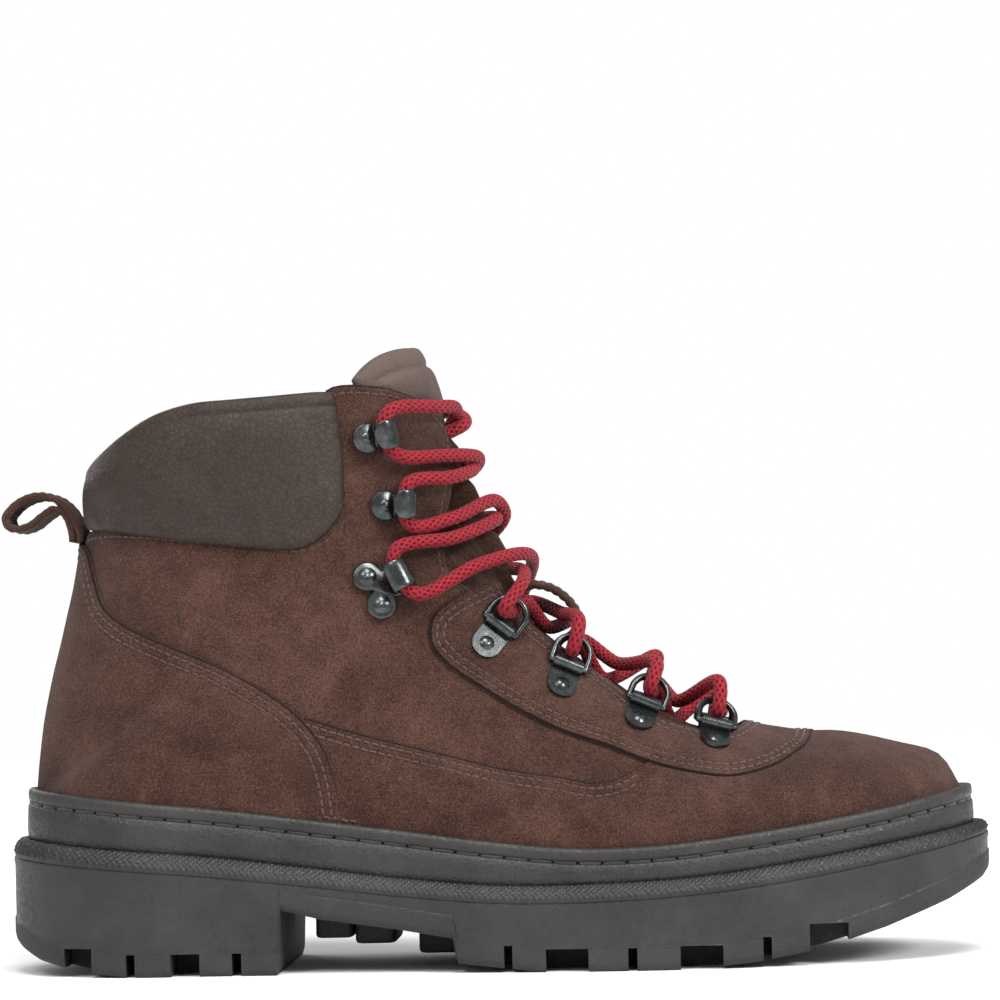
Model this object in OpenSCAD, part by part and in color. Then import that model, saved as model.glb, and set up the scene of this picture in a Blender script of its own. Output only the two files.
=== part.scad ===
// Lace-up hiking boot for the right foot, size EU 42-43, in millimetres.
// +X points to the toe, -Y to the outer side of the foot, +Z up. The lugs stand on Z = 0,
// under the middle of the boot.

/* [Sole] */
// How far the outsole stands out past the upper
sole_margin = 8.5; // [7.5:0.5:9]
// Step from the outsole's ledge in to the sidewall
ledge_step = 5; // [4:0.5:5]
// Height of the welt above the seam with the midsole
welt_h = 4.2; // [3:0.2:5]
// Depth of the gaps between the lugs
lug_depth = 7; // [7:0.5:10]
// How far the gaps between the side lugs reach in from the edge
lug_reach = 17; // [14:1:20]
// Thickness of the footbed
footbed_t = 4; // [3:0.5:5]

/* [Upper] */
// Thickness of each suede panel
suede_t = 1.2; // [1:0.1:1.3]
// Thickness of the textile lining
lining_t = 1.6; // [1:0.1:1.8]
// Thickness of the padded tongue
tongue_t = 5; // [3:0.5:6]
// Width of the pull loop
loop_w = 20; // [14:1:24]

/* [Hardware] */
// Diameter of the D-ring wire
wire_d = 2; // [1.6:0.1:2]
// Radius of a D-ring's bow, at the middle of its wire
ring_r = 5.75; // [5.5:0.05:6]
// Length of a D-ring's straight legs
ring_leg = 3.8; // [3:0.1:4]
// Width of the folded clips
clip_w = 9.5; // [8:0.5:9.5]
// Running clearance between a ring's wire and its clip, on the radius
clip_gap = 0.1; // [0.05:0.01:0.1]
// Width of a speed hook
hook_w = 7.6; // [7:0.2:8]
// Width of a locking hook
lock_w = 9.4; // [9:0.2:10]

/* [Lace] */
// Diameter of the round lace
lace_d = 5; // [4.8:0.1:5.2]
// Length of the aglets
aglet_l = 18; // [14:1:20]

/* [Hidden] */
$fn = 32;
SIDES = [-1, 1];
SIDE_NAME = ["lateral", "", "medial"];
RINGS = [1, 2, 3, 4];

SUEDE = [0.37, 0.25, 0.2];
LEATHER = [0.27, 0.23, 0.22];
RUBBER = [0.28, 0.27, 0.26];
TEXTILE = [0.16, 0.15, 0.15];
METAL = [0.25, 0.27, 0.27];
RED = [0.75, 0.12, 0.2];

// ---- Curves ----

function smooth(t) = let (c = min(max(t, 0), 1)) c * c * (3 - 2 * c);
function spline(a, b, c, d, t) =
    0.5 * (2 * b + (c - a) * t + (2 * a - 5 * b + 4 * c - d) * t * t + (3 * b - a - 3 * c + d) * t * t * t);
function along(rows, u) =
    let (last = len(rows) - 1, i = min(max(floor(u), 0), last - 1))
    spline(rows[max(i - 1, 0)], rows[i], rows[i + 1], rows[min(i + 2, last)], u - i);
// Puts the middle of the boot's width on Y = 0.
centre_y = -2.2;
// Sideways bend of the whole foot: out at the waist, in towards the big toe.
function bend(x) = centre_y - 3 * smooth((x + 100) / 60) + 10 * smooth((x + 30) / 180);
function unit(v) = v / norm(v);

// ---- The upper's outer surface ----

// Each station is a line in the side view, from the feather line or back seam [x, half width, z]
// to the ridge over the instep [x, z]. The last four numbers bow its cross-section:
// [rise, half width] for the lower and for the upper control point.
STATIONS = [
    [147,  0, 48.6, 146,  53, 0.40,  4, 1,  3],
    [144, 14, 48.0, 140,  62, 0.50, 17, 1, 11],
    [135, 27, 46.2, 128,  66, 0.55, 30, 1, 20],
    [119, 37, 43.0, 110,  70, 0.55, 40, 1, 27],
    [ 98, 43, 39.5,  92,  71, 0.55, 46, 1, 30],
    [ 74, 46, 36.2,  76,  75, 0.55, 51, 1, 28],
    [ 50, 46, 33.8,  61,  82, 0.55, 52, 1, 24],
    [ 25, 43, 33.4,  46,  90, 0.55, 50, 1, 22],
    [  0, 39, 35.8,  32, 100, 0.50, 46, 1, 22],
    [-28, 35, 39.6,  20, 111, 0.45, 42, 1, 24],
    [-58, 34, 43.7,  11, 121, 0.40, 38, 1, 27],
    [-88, 34, 47.5,   6, 130, 0.35, 38, 1, 31],
    [-112, 34, 50.0,  2, 137, 0.28, 40, 1, 34],
    [-132, 27, 52.3, -1, 143, 0.18, 42, 1, 36],
    [-143, 15, 53.6, -3, 148, 0.07, 44, 1, 38],
    [-147,  0, 54.2, -5, 153, 0.00, 46, 1, 40],
    [-144,  0, 80,   -8, 161, 0.00, 46, 1, 42],
    [-138,  0, 105, -11, 169, 0.00, 46, 1, 43],
    [-133,  0, 127, -14, 178, 0.00, 48, 1, 44],
    [-131,  0, 148, -18, 188, 0.00, 50, 1, 46],
    [-127,  0, 168, -22, 199, 0.00, 51, 1, 48],
    [-124,  0, 188, -26, 211, 0.00, 52, 1, 49],
];
HEEL_U = 15;
TOP_U = len(STATIONS) - 1;

// A point of the surface: u picks the station, w runs from the feather line (0) to the ridge (1).
function bare(u, w, side) =
    let (s = along(STATIONS, u), b = 3 * w * (1 - w) * (1 - w), c = 3 * w * w * (1 - w),
         rise = b * s[5] + c * s[7] + w * w * w,
         x = s[0] + (s[3] - s[0]) * rise,
         y = pow(1 - w, 3) * s[1] + b * s[6] + c * s[8])
    [x, side * y + bend(x), s[2] + (s[4] - s[2]) * rise];
function outward(u, w, side) =
    let (e = 0.001, w1 = min(w + e, 1), u1 = min(u + e, TOP_U))
    side * unit(cross(bare(u1, w1 - e, side) - bare(u1 - 2 * e, w1 - e, side),
                      bare(u1 - e, w1, side) - bare(u1 - e, w1 - 2 * e, side)));
function skin(q, off) = bare(q[0], q[1], q[2]) + off * outward(q[0], q[1], q[2]);

// Finds [u, w] of the surface point that the side view shows at (x, z).
function across(u, x, z) = let (s = along(STATIONS, u)) (s[3] - s[0]) * (z - s[2]) - (s[4] - s[2]) * (x - s[0]);
function find_u(x, z, lo, hi, n) =
    let (m = (lo + hi) / 2)
    n == 0 ? m : across(m, x, z) > 0 ? find_u(x, z, m, hi, n - 1) : find_u(x, z, lo, m, n - 1);
function find_w(s, rise, lo, hi, n) =
    let (w = (lo + hi) / 2, r = 3 * w * (1 - w) * (1 - w) * s[5] + 3 * w * w * (1 - w) * s[7] + w * w * w)
    n == 0 ? w : r < rise ? find_w(s, rise, w, hi, n - 1) : find_w(s, rise, lo, w, n - 1);
function at(x, z) =
    let (u = find_u(x, z, 0, TOP_U, 24), s = along(STATIONS, u), d = [s[3] - s[0], s[4] - s[2]],
         rise = ([x - s[0], z - s[2]] * d) / (d * d))
    [u, find_w(s, rise, 0, 1, 20)];
function feather(u) = [u, 0];
function ridge(u) = [u, 1];

// ---- Sheets that follow the surface ----

// Closed solid between two offsets of a grid of [u, w, side] points.
// near and far give the offsets outward from the surface at a point.
module sheet(grid, near, far, loop = false) {
    rows = len(grid);
    cols = len(grid[0]);
    total = rows * cols;
    outer = [for (r = grid, q = r) skin(q, far(q))];
    inner = [for (r = grid, q = r) skin(q, near(q))];
    last = loop ? rows - 1 : rows - 2;
    quads = [for (i = [0:last], j = [0:cols - 2])
        let (a = i * cols + j, b = ((i + 1) % rows) * cols + j) [a, b, b + 1, a + 1]];
    sides = concat(
        [for (i = [0:last], j = [0, cols - 1])
            let (a = i * cols + j, b = ((i + 1) % rows) * cols + j) j == 0 ? [a, b] : [b, a]],
        loop ? [] : [for (j = [0:cols - 2], i = [0, rows - 1])
            let (a = i * cols + j) i == 0 ? [a + 1, a] : [a, a + 1]]);
    faces = concat(
        [for (q = quads) each [[q[0], q[1], q[2]], [q[0], q[2], q[3]]]],
        [for (q = quads) each [[q[2], q[1], q[0]] + [total, total, total],
                               [q[3], q[2], q[0]] + [total, total, total]]],
        [for (e = sides) each [[e[1], e[0], e[0] + total], [e[1], e[0] + total, e[1] + total]]]);
    // Turns the faces where the grid runs the other way round.
    m = cols * floor(rows / 2) + floor(cols / 2);
    turned = cross(outer[m + cols] - outer[m], outer[m + 1] - outer[m]) * (outer[m] - inner[m]) > 0;
    polyhedron(concat(outer, inner), turned ? [for (f = faces) reversed(f)] : faces);
}

// Grid from ribs, each a pair of [u, w] ends, on one side of the boot.
function mix(a, b, t) = a + (b - a) * t;
// Adds a rib halfway between each two.
function denser(ribs) =
    [for (i = [0:2 * len(ribs) - 2]) let (k = floor(i / 2)) i % 2 == 0 ? ribs[k] : mix(ribs[k], ribs[k + 1], 0.5)];
function half_grid(ribs, n, side) =
    [for (r = denser(ribs)) [for (j = [0:n]) let (q = mix(r[0], r[1], j / n)) [q[0], q[1], side]]];
// The same ribs on both sides. The last rib lies on the middle of the boot.
function reversed(list) = [for (i = [len(list) - 1:-1:0]) list[i]];
function both_sides(ribs, n) =
    let (medial = reversed(half_grid(ribs, n, 1)))
    concat(half_grid(ribs, n, -1), [for (i = [1:len(medial) - 1]) medial[i]]);
// Offsets of the layers, outward from the outer surface. The step keeps neighbours apart.
layer_step = 1.5;
function layer(k) = -k * layer_step;
module panel(ribs, n, k, side) {
    sheet(half_grid(ribs, n, side), function(q) layer(k) - suede_t, function(q) layer(k));
}
module wrap(ribs, n, k) {
    sheet(both_sides(ribs, n), function(q) layer(k) - suede_t, function(q) layer(k));
}

// ---- Sole ----

// Side-view heights: crease under the sidewall, edge of the ledge, bottom of the lugs.
CREASE = [[-160, 43], [-123, 39.2], [-91, 36.4], [-60, 32.6], [-29, 28.6], [2, 25.9], [33, 26],
          [63, 27.5], [94, 31.4], [125, 36.4], [160, 42]];
LEDGE = [[-160, 37.2], [-123, 33.5], [-91, 30.7], [-60, 27.4], [-29, 23.6], [2, 21.1], [33, 21.1],
         [63, 22.8], [94, 26.5], [125, 31.8], [160, 38.8]];
BOTTOM = [[-160, 14], [-153, 9.5], [-143, 5], [-128, 1.5], [-112, 0], [-67, 0]];
FOREPART = [[-12, 3], [4, 1.2], [15, 0], [60, 0], [80, 1.8], [100, 5.2], [120, 11], [140, 18.2], [160, 27.5]];
ARCH = [[-67, 20], [-54, 17], [-30, 13.5], [-12, 10.5]];
// Gaps between the side lugs: [middle, width].
WIDE_GAPS = [[-130, 9], [-96, 9], [22, 13], [63, 13], [102, 12]];
FINE_GAPS = [[-113, 2.8], [-80, 3], [4, 2.6], [42, 2.8], [83, 2.6]];
CROSS_GAPS = [[-140, 5], [-121, 4], [-104, 4], [-86, 4], [12, 4], [32, 4], [52, 4], [73, 4], [93, 4], [114, 4]];
ARCH_PADS = [[-60, 11], [-45, 13], [-24, 12]];

function inset(line, d) =
    [for (i = [0:len(line) - 1])
        let (a = line[max(i - 1, 0)], b = line[min(i + 1, len(line) - 1)], t = unit(b - a),
             n = i == 0 ? [1, 0] : i == len(line) - 1 ? [-1, 0] : [t[1], -t[0]], p = line[i] + d * n)
        [p[0], max(p[1], 0)]];
// Outline of both sides from one side's half widths, with the foot's bend.
function outline(half) =
    concat([for (p = half) [p[0], bend(p[0]) - p[1]]],
           [for (i = [len(half) - 2:-1:1]) [half[i][0], bend(half[i][0]) + half[i][1]]]);
// Half width of the feather line, from heel to toe, moved out by a margin.
FEATHER = [for (u = [HEEL_U:-0.5:0]) let (s = along(STATIONS, u)) [s[0], s[1]]];
function rim(margin) = inset(FEATHER, -margin);
SOLE_RIM = rim(sole_margin);
// Height of the seam between midsole and upper, just under the feather line.
seam_drop = 0.4;
SEAM = concat([[-160, STATIONS[HEEL_U][2] - seam_drop]],
    [for (u = [HEEL_U:-1:0]) [STATIONS[u][0], STATIONS[u][2] - seam_drop]],
    [[160, STATIONS[0][2] - seam_drop + 1.5]]);
function raise(curve, d) = [for (p = curve) p + [0, d]];

// Slab across the whole width, between two curves of the side view.
module slab(low, high) {
    rotate([90, 0, 0])
        linear_extrude(140, center = true)
            polygon(concat(low, reversed(high)));
}
module plan(points, from, to) {
    translate([0, 0, from])
        linear_extrude(to - from)
            polygon(points);
}
module gap_box(gap, y_from, y_to, depth) {
    translate([gap[0] - gap[1] / 2, y_from, -1])
        cube([gap[1], y_to - y_from, depth + 1]);
}
// Side gaps cut in from one edge, following the sole's width.
module side_gap(gap, side) {
    half = lookup(gap[0], SOLE_RIM);
    edge = bend(gap[0]) + side * half;
    low = lookup(gap[0], gap[0] < 0 ? BOTTOM : FOREPART);
    gap_box(gap, min(edge + side * 10, edge - side * lug_reach),
            max(edge + side * 10, edge - side * lug_reach), low + lug_depth);
}
module cross_gap(gap) {
    half = lookup(gap[0], SOLE_RIM) - lug_reach - 5;
    low = lookup(gap[0], gap[0] < 0 ? BOTTOM : FOREPART);
    gap_box(gap, bend(gap[0]) - half, bend(gap[0]) + half, low + 6);
}
// Channel between the side lugs and the middle lugs.
module moat() {
    difference() {
        plan(outline(rim(sole_margin - lug_reach + 1)), -1, 40);
        plan(outline(rim(sole_margin - lug_reach - 3)), -2, 41);
    }
}

module outsole() {
    color(RUBBER)
    difference() {
        union() {
            intersection() {
                plan(outline(SOLE_RIM), -1, 50);
                slab(concat(BOTTOM, ARCH, FOREPART), LEDGE);
            }
            intersection() {
                plan(outline(rim(sole_margin - ledge_step / 2)), -1, 50);
                slab(raise(LEDGE, -1), CREASE);
            }
            for (p = ARCH_PADS)
                translate([p[0] - p[1] / 2, bend(p[0]) - 16, lookup(p[0], ARCH) - 4])
                    cube([p[1], 38, 8]);
        }
        for (g = concat(WIDE_GAPS, FINE_GAPS), s = SIDES)
            side_gap(g, s);
        for (g = CROSS_GAPS)
            cross_gap(g);
        intersection() {
            moat();
            slab([[-160, -2], [160, -2]],
                 concat(raise(BOTTOM, 6), [[-66, -1], [-13, -1]], raise(FOREPART, 6)));
        }
    }
}

module midsole() {
    color(RUBBER)
    intersection() {
        plan(outline(rim(sole_margin - ledge_step)), 20, 60);
        slab(CREASE, SEAM);
    }
}

welt_clear = 1.2;
module welt() {
    color(RUBBER)
    difference() {
        intersection() {
            plan(outline(rim(sole_margin - ledge_step)), 20, 65);
            slab(SEAM, raise(SEAM, welt_h));
        }
        plan(outline(rim(welt_clear)), 15, 70);
    }
}

board_t = 2.4;
board_in = 7.6;
module shank_strip(grow) {
    translate([0, bend(-30), 0])
        rotate([90, 0, 0])
            linear_extrude(14 + 2 * grow, center = true)
                polygon(concat([for (x = [-95:13:22]) [x, lookup(x, SEAM) - 1]],
                               [for (x = [22:-13:-95]) [x, lookup(x, SEAM) + 1.4 + grow]]));
}
module insole_board() {
    color("tan")
    difference() {
        intersection() {
            plan(outline(rim(-board_in)), 20, 70);
            slab(SEAM, raise(SEAM, board_t));
        }
        shank_strip(0.2);
    }
}
module shank() {
    color("silver")
    intersection() {
        shank_strip(0);
        slab(SEAM, raise(SEAM, board_t));
    }
}
module footbed() {
    color(TEXTILE)
    intersection() {
        plan(outline(rim(-board_in - 1.4)), 20, 80);
        slab(raise(SEAM, board_t), raise(SEAM, board_t + footbed_t));
    }
}

// ---- Upper ----

// Throat edge and top line of the lining, from the toe end round to the back.
THROAT = [[74, 72], [63, 74], [54, 76], [42, 85], [33, 91], [20, 100], [9, 110], [0, 118], [-9, 126],
          [-17, 142], [-17, 157], [-21, 172], [-35, 179], [-60, 176], [-90, 174], [-112, 166]];
LINING_FEET = [1, 2.4, 3.6, 4.8, 5.8, 6.8, 7.8, 8.6, 9.4, 10.3, 11, 11.8, 12.6, 13.3, 14, 14.5];
lining_ribs = concat(
    [[ridge(0), ridge(4.9)]],
    [for (i = [0:len(THROAT) - 1]) [feather(LINING_FEET[i]), at(THROAT[i][0], THROAT[i][1])]],
    [[feather(HEEL_U), feather(19.6)]]);
lining_out = layer(3) - 0.2;
// The lining sits deeper in the heel cup, inside the stiffener.
function lining_face(q) = lining_out - 0.6 * smooth((q[0] - 11) / 2) * smooth((18.5 - q[0]) / 2);
module lining() {
    // The heel end turns most sharply, so its ribs lie closer.
    ribs = concat([for (i = [0:12]) lining_ribs[i]], denser([for (i = [13:len(lining_ribs) - 1]) lining_ribs[i]]));
    lateral = half_grid(ribs, 10, -1);
    medial = reversed(half_grid(ribs, 10, 1));
    grid = concat(lateral, [for (i = [1:len(medial) - 2]) medial[i]]);
    color(TEXTILE)
        sheet(grid, function(q) lining_face(q) - lining_t, function(q) lining_face(q), loop = true);
}

stiffener_ribs = [
    [[10.3, 0.03], at(-52, 58)],
    [[11, 0.03], at(-64, 70)],
    [[12, 0.03], at(-84, 85)],
    [[13.1, 0.03], at(-104, 95)],
    [[13.9, 0.06], at(-120, 101)],
    [[14.5, 0.1], at(-130, 104)],
    [feather(15.7), feather(17)],
];
stiffener_t = 0.6;
stiffener_out = layer(2) - 0.2;
module stiffened(ribs, n) {
    color("dimgray")
        sheet(both_sides(denser(ribs), n), function(q) stiffener_out - stiffener_t, function(q) stiffener_out);
}
module heel_stiffener() {
    stiffened(stiffener_ribs, 8);
}
module toe_puff() {
    stiffened([for (u = [4.4:-0.7:0.9]) [feather(u), [u, 1 - 0.3 * (u - 0.9) / 3.5]], [ridge(0), ridge(3.9)]], 6);
}

// Suede panels. Each rib runs from a panel's lower or outer edge to its upper or inner edge.
quarter_ribs = [
    [at(-126, 122), at(-128, 137)],
    [at(-121, 108), at(-120, 138.5)],
    [at(-106, 98), at(-108, 137.5)],
    [at(-86, 88), at(-90, 135)],
    [at(-70, 78), at(-70, 132)],
    [at(-60, 70), at(-57, 131)],
    [at(-48, 66), at(-49, 136)],
    [at(-40, 65), at(-45.5, 144)],
    [at(-33, 63), at(-45.5, 160)],
    [at(-28, 62), at(-47.5, 180)],
    [at(-22, 61), at(-32, 182)],
    [at(-16, 60), at(-21, 178.5)],
    [at(-10, 58), at(-12.5, 170)],
    [at(-4, 57), at(-10.5, 159)],
    [at(2, 56), at(-11.5, 147)],
    [at(9, 55), at(-14, 129)],
    [at(16, 54), at(0, 112)],
    [at(24, 53), at(16, 98)],
    [at(33, 52), at(32, 85)],
    [at(46, 55), at(46, 76)],
];
vamp_ribs = [
    [feather(9.9), at(-47.5, 75.5)],
    [feather(9.6), at(-39, 73)],
    [feather(9.1), at(-14, 66.5)],
    [feather(8.3), at(4, 62)],
    [feather(7.6), at(21, 59)],
    [feather(7), at(33, 57)],
    [feather(6.4), at(46, 62.5)],
    [feather(6), at(57, 59)],
    [feather(5.4), at(68, 57)],
    [feather(4.8), at(75, 57)],
    [feather(4.2), at(82, 58.5)],
    [feather(3.5), at(89, 60)],
    [feather(2.7), at(95, 63)],
    [feather(1.9), at(99, 66)],
    [feather(1), [3.55, 0.85]],
    [ridge(0), ridge(3.5)],
];
counter_ribs = [
    [feather(10.15), at(-52, 64)],
    [feather(10.5), at(-56.5, 73)],
    [feather(10.8), at(-63, 82)],
    [feather(11.5), at(-76, 91)],
    [feather(12.3), at(-94, 99.5)],
    [feather(13), at(-106, 104.5)],
    [feather(13.7), at(-117, 110.5)],
    [feather(14.3), at(-124, 119)],
    [feather(14.7), at(-128, 133)],
    [feather(HEEL_U), feather(18.4)],
];
eyestay_ribs = [
    [at(-2, 120), at(2, 119.5)],
    [at(-11.5, 114.7), at(4.8, 113.8)],
    [at(-17.5, 109), at(8.3, 108.8)],
    [at(-18.5, 101), at(12.8, 104.2)],
    [at(-14, 95), at(18.8, 99.2)],
    [at(-3, 87.5), at(25.3, 94.2)],
    [at(9.5, 79.5), at(32.3, 89.2)],
    [at(21, 73.5), at(39.5, 83.7)],
    [at(34.5, 69), at(46.7, 78.7)],
    [at(48.5, 63.2), at(53, 75.2)],
    [at(60, 60), at(58.8, 73.2)],
    [at(74, 58.3), at(65.5, 71.4)],
    [at(87, 61.3), at(71.3, 71.2)],
    [at(96, 66.3), at(75.2, 72.3)],
    [ridge(3.55), ridge(4.85)],
];
module quarter(side) {
    color(SUEDE) panel(quarter_ribs, 9, 1, side);
}
module vamp() {
    color(SUEDE) wrap(vamp_ribs, 6, 0);
}
module heel_counter() {
    color(SUEDE) wrap(counter_ribs, 5, 0);
}
module eyestay() {
    color(SUEDE) wrap(eyestay_ribs, 4, 0);
}

collar_ribs = [
    [at(-48, 147.5), at(-49.8, 178)],
    [at(-53, 139), at(-58, 179)],
    [at(-60, 136), at(-68, 179.3)],
    [at(-73, 137), at(-80, 179)],
    [at(-92, 139.2), at(-96, 177)],
    [at(-108, 141.4), at(-108, 172.5)],
    [at(-121, 143), at(-119, 167)],
    [feather(19.15), feather(19.5)],
];
collar_proud = 2.5;
module collar_pad() {
    swell = function(q) collar_proud;
    color(LEATHER)
        sheet(both_sides(collar_ribs, 5), function(q) lining_out + 0.4, swell);
}

// Strap folded into a flat loop, seen from the side, and stitched to the back of the heel strip.
LOOP_OUT = [[-129.3, 139], [-132, 144.5], [-135.5, 149.3], [-140, 152], [-145, 152.5], [-150, 151],
            [-154, 148], [-156.5, 144.5], [-155.5, 141], [-152, 139.6], [-147, 140.5], [-142, 144],
            [-139, 145.2], [-136, 143.5], [-134, 139.5], [-133, 136]];
LOOP_EYE = [[-153.8, 144.2], [-150.5, 147.3], [-146.5, 149.4], [-142.5, 149.8], [-140, 148.5],
            [-143.5, 146.4], [-147.5, 143], [-151.5, 141.8]];
module pull_loop() {
    color(SUEDE)
    translate([0, bend(-140), 0])
        rotate([90, 0, 0])
            linear_extrude(loop_w, center = true)
                difference() {
                    polygon(LOOP_OUT);
                    polygon(LOOP_EYE);
                }
}

// ---- Tongue ----

// The tongue lies under the lining at its edges and rises through the throat in the middle.
fold_u = 11.2;
// Offset of the tongue's face [u, mm], along its middle and over its wings. The wings drop back
// behind the hooks, where the lace ends are tucked in.
TONGUE_MID = [[5, -11.6], [8, -11.6], [9, -9], [10, -4.6], [11, -2.6], [20, -2.2]];
TONGUE_WING = [[5, -12], [8, -12], [9, -10.5], [11, -8.9], [12, -8.9], [14, -14.2], [17.3, -14.2],
               [19, -7], [20, -7]];
wing_w = 0.95;
function tongue_out(q) =
    mix(lookup(q[0], TONGUE_WING), lookup(q[0], TONGUE_MID), smooth((q[1] - wing_w) / (1 - wing_w)));
// Across the tongue: w rises from the wing edge to the ridge, the same on both sides.
WING = [0, 0.25, 0.45, 0.65, 0.85, 1];
function tongue_row(u_at, w_edge) = concat(
    [for (i = [0:5]) let (w = mix(w_edge, 1, WING[i])) [u_at(w), w, -1]],
    [for (i = [4:-1:0]) let (w = mix(w_edge, 1, WING[i])) [u_at(w), w, 1]]);
module tongue_sheet(grid) {
    color(SUEDE)
        sheet(grid, function(q) tongue_out(q) - tongue_t, function(q) tongue_out(q));
}
module tongue_lower() {
    tongue_sheet([for (u = [5.2, 6, 7, 8, 9, 9.8, fold_u])
        tongue_row(function(w) u == fold_u ? u - 2.5 * (1 - w) : u, 0.72)]);
}
module tongue_upper() {
    tongue_sheet([for (u = [fold_u + 0.12, 12, 13, 14.5, 16, 17.5, 18.6, 19.6])
        tongue_row(function(w) u < 12 ? u + 1.5 * (1 - w) : u > 18 ? u - (u - 18) * 12 * (1 - w) * (1 - w) : u,
                   0.74)]);
}
module gusset(side) {
    deep = lining_out - lining_t - 0.6;
    color(SUEDE)
        sheet([for (u = [5.6, 6.5, 7.5, 8.5, 9.5, 10.5, 11.5])
                  [for (w = [0.56, 0.64, 0.72, 0.78]) [u, w, side]]],
              function(q) deep - 1.6, function(q) deep);
}

keeper_w = 14;
// The keeper is a low bridge over the tongue that both laces pass under: outer, then inner arc.
KEEPER_OUT = [[7.5, 117.5], [8.6, 118.6], [12, 119.9], [17, 119.3], [22, 116.6], [25.8, 112.5],
              [27.8, 107.5], [26.4, 103.6], [24.1, 101.8]];
KEEPER_IN = [[22.9, 103], [24.5, 104], [26.2, 107.4], [24.4, 111.6], [21, 115.1], [16.6, 117.6],
             [12.4, 118.2], [10.2, 117.6], [9.1, 116.7]];
module lace_keeper() {
    color(SUEDE)
    translate([0, bend(16), 0])
        rotate([90, 0, 0])
            linear_extrude(keeper_w, center = true)
                polygon(concat(KEEPER_OUT, KEEPER_IN));
}

// ---- Hardware ----

wire_r = wire_d / 2;
barrel_r = wire_r + clip_gap + 0.9;
plate_t = 0.9;
plate_gap = 0.15;
// Middle of each D-ring's hinge in the side view, and the direction towards the lace: [x, z, angle].
RING_AT = [[68.8, 72.2, 92], [47.1, 79.6, 67], [23, 92.3, 75], [2.3, 105.3, 52]];
LOCK_AT = [-33, 119, 25];
LOWER_AT = [-32.3, 144.3, 3];
UPPER_AT = [-37.4, 165.4, 12];

// Places children on the surface: local x towards the lace, z outward.
module on_skin(spot, side, off) {
    q = concat(at(spot[0], spot[1]), side);
    ahead = concat(at(spot[0] + 2 * cos(spot[2]), spot[1] + 2 * sin(spot[2])), side);
    p = skin(q, off);
    z = unit(skin(q, 1) - skin(q, 0));
    y = unit(cross(z, skin(ahead, off) - p));
    x = cross(y, z);
    multmatrix([[x[0], y[0], z[0], p[0]], [x[1], y[1], z[1], p[1]], [x[2], y[2], z[2], p[2]], [0, 0, 0, 1]])
        children();
}
tab_l = 12;
module clip_shape() {
    difference() {
        union() {
            hull_free_tab();
            translate([0, 0, barrel_r])
                rotate([90, 0, 0])
                    cylinder(r = barrel_r, h = clip_w, center = true);
        }
        translate([0, 0, barrel_r])
            rotate([90, 0, 0])
                cylinder(r = wire_r + clip_gap, h = clip_w + 2, center = true);
    }
}
module hull_free_tab() {
    linear_extrude(plate_t) {
        translate([-tab_l + clip_w / 2, -clip_w / 2])
            square([tab_l - clip_w / 2, clip_w]);
        translate([-tab_l + clip_w / 2, 0])
            circle(d = clip_w);
    }
}
module ring_clip(k, side) {
    color(METAL)
        on_skin(RING_AT[k - 1], side, plate_gap)
            clip_shape();
}
module ring_shape() {
    rotate([90, 0, 0])
        cylinder(r = wire_r, h = 2 * ring_r, center = true);
    for (s = SIDES)
        translate([0, s * ring_r, 0]) {
            sphere(r = wire_r);
            rotate([0, 90, 0])
                cylinder(r = wire_r, h = ring_leg);
        }
    translate([ring_leg, 0, 0])
        rotate([0, 0, -90])
            rotate_extrude(angle = 180)
                translate([ring_r, 0])
                    circle(r = wire_r);
}
ring_lift = 20;
module d_ring(k, side) {
    color(METAL)
        on_skin(RING_AT[k - 1], side, plate_gap)
            translate([0, 0, barrel_r])
                rotate([0, -ring_lift, 0])
                    ring_shape();
}

// Half pipe that holds the lace, open away from the throat.
module half_pipe(width, bore_r, wall) {
    intersection() {
        translate([0, 0, bore_r + wall])
            rotate([90, 0, 0])
                difference() {
                    cylinder(r = bore_r + wall, h = width, center = true);
                    cylinder(r = bore_r, h = width + 2, center = true);
                    translate([-10 - bore_r * 0.25, bore_r * 0.4, -width])
                        cube([10, 10, 2 * width]);
                    translate([-20 - bore_r * 0.25, -10, -width])
                        cube([20, 20, 2 * width]);
                }
        cylinder(r = width * 0.62, h = 20);
    }
}
hook_bore = 3.5;
hook_wall = 1.1;
module speed_hook(spot, side) {
    color(METAL)
        on_skin(spot, side, plate_gap) {
            cylinder(r = 4.5, h = plate_t);
            translate([5, 0, 0])
                half_pipe(hook_w, hook_bore, hook_wall);
            translate([0, -hook_w / 2, 0])
                cube([5, hook_w, plate_t]);
        }
}
// Rivet places on the locking hook's plate.
LOCK_RIVETS = [[-3.2, 5], [-3.2, -5]];
module locking_hook(side) {
    color(METAL)
        on_skin(LOCK_AT, side, plate_gap) {
            for (r = LOCK_RIVETS)
                translate([r[0], r[1], 0])
                    cylinder(r = 4.6, h = plate_t);
            translate([-4.5, -5, 0])
                cube([5, 10, plate_t]);
            translate([0, -lock_w / 2, 0])
                cube([5.5, lock_w, plate_t]);
            translate([5.5, 0, 0])
                half_pipe(lock_w, hook_bore, hook_wall);
        }
}
module rivet_head(r) {
    intersection() {
        cylinder(r = r, h = 2);
        translate([0, 0, 0.9 - 1.6 * r])
            sphere(r = 1.6 * r);
    }
}
module rivets() {
    on_top = plate_gap + plate_t + 0.02;
    color(METAL)
    for (s = SIDES) {
        for (r = LOCK_RIVETS)
            on_skin(LOCK_AT, s, on_top)
                translate([r[0], r[1], 0])
                    rivet_head(3.2);
        for (spot = [LOWER_AT, UPPER_AT])
            on_skin(spot, s, on_top)
                rivet_head(1.8);
        for (spot = RING_AT)
            on_skin(spot, s, on_top)
                translate([-tab_l + clip_w / 2, 0, 0])
                    rivet_head(2.4);
    }
}

// ---- Lace ----

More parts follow.
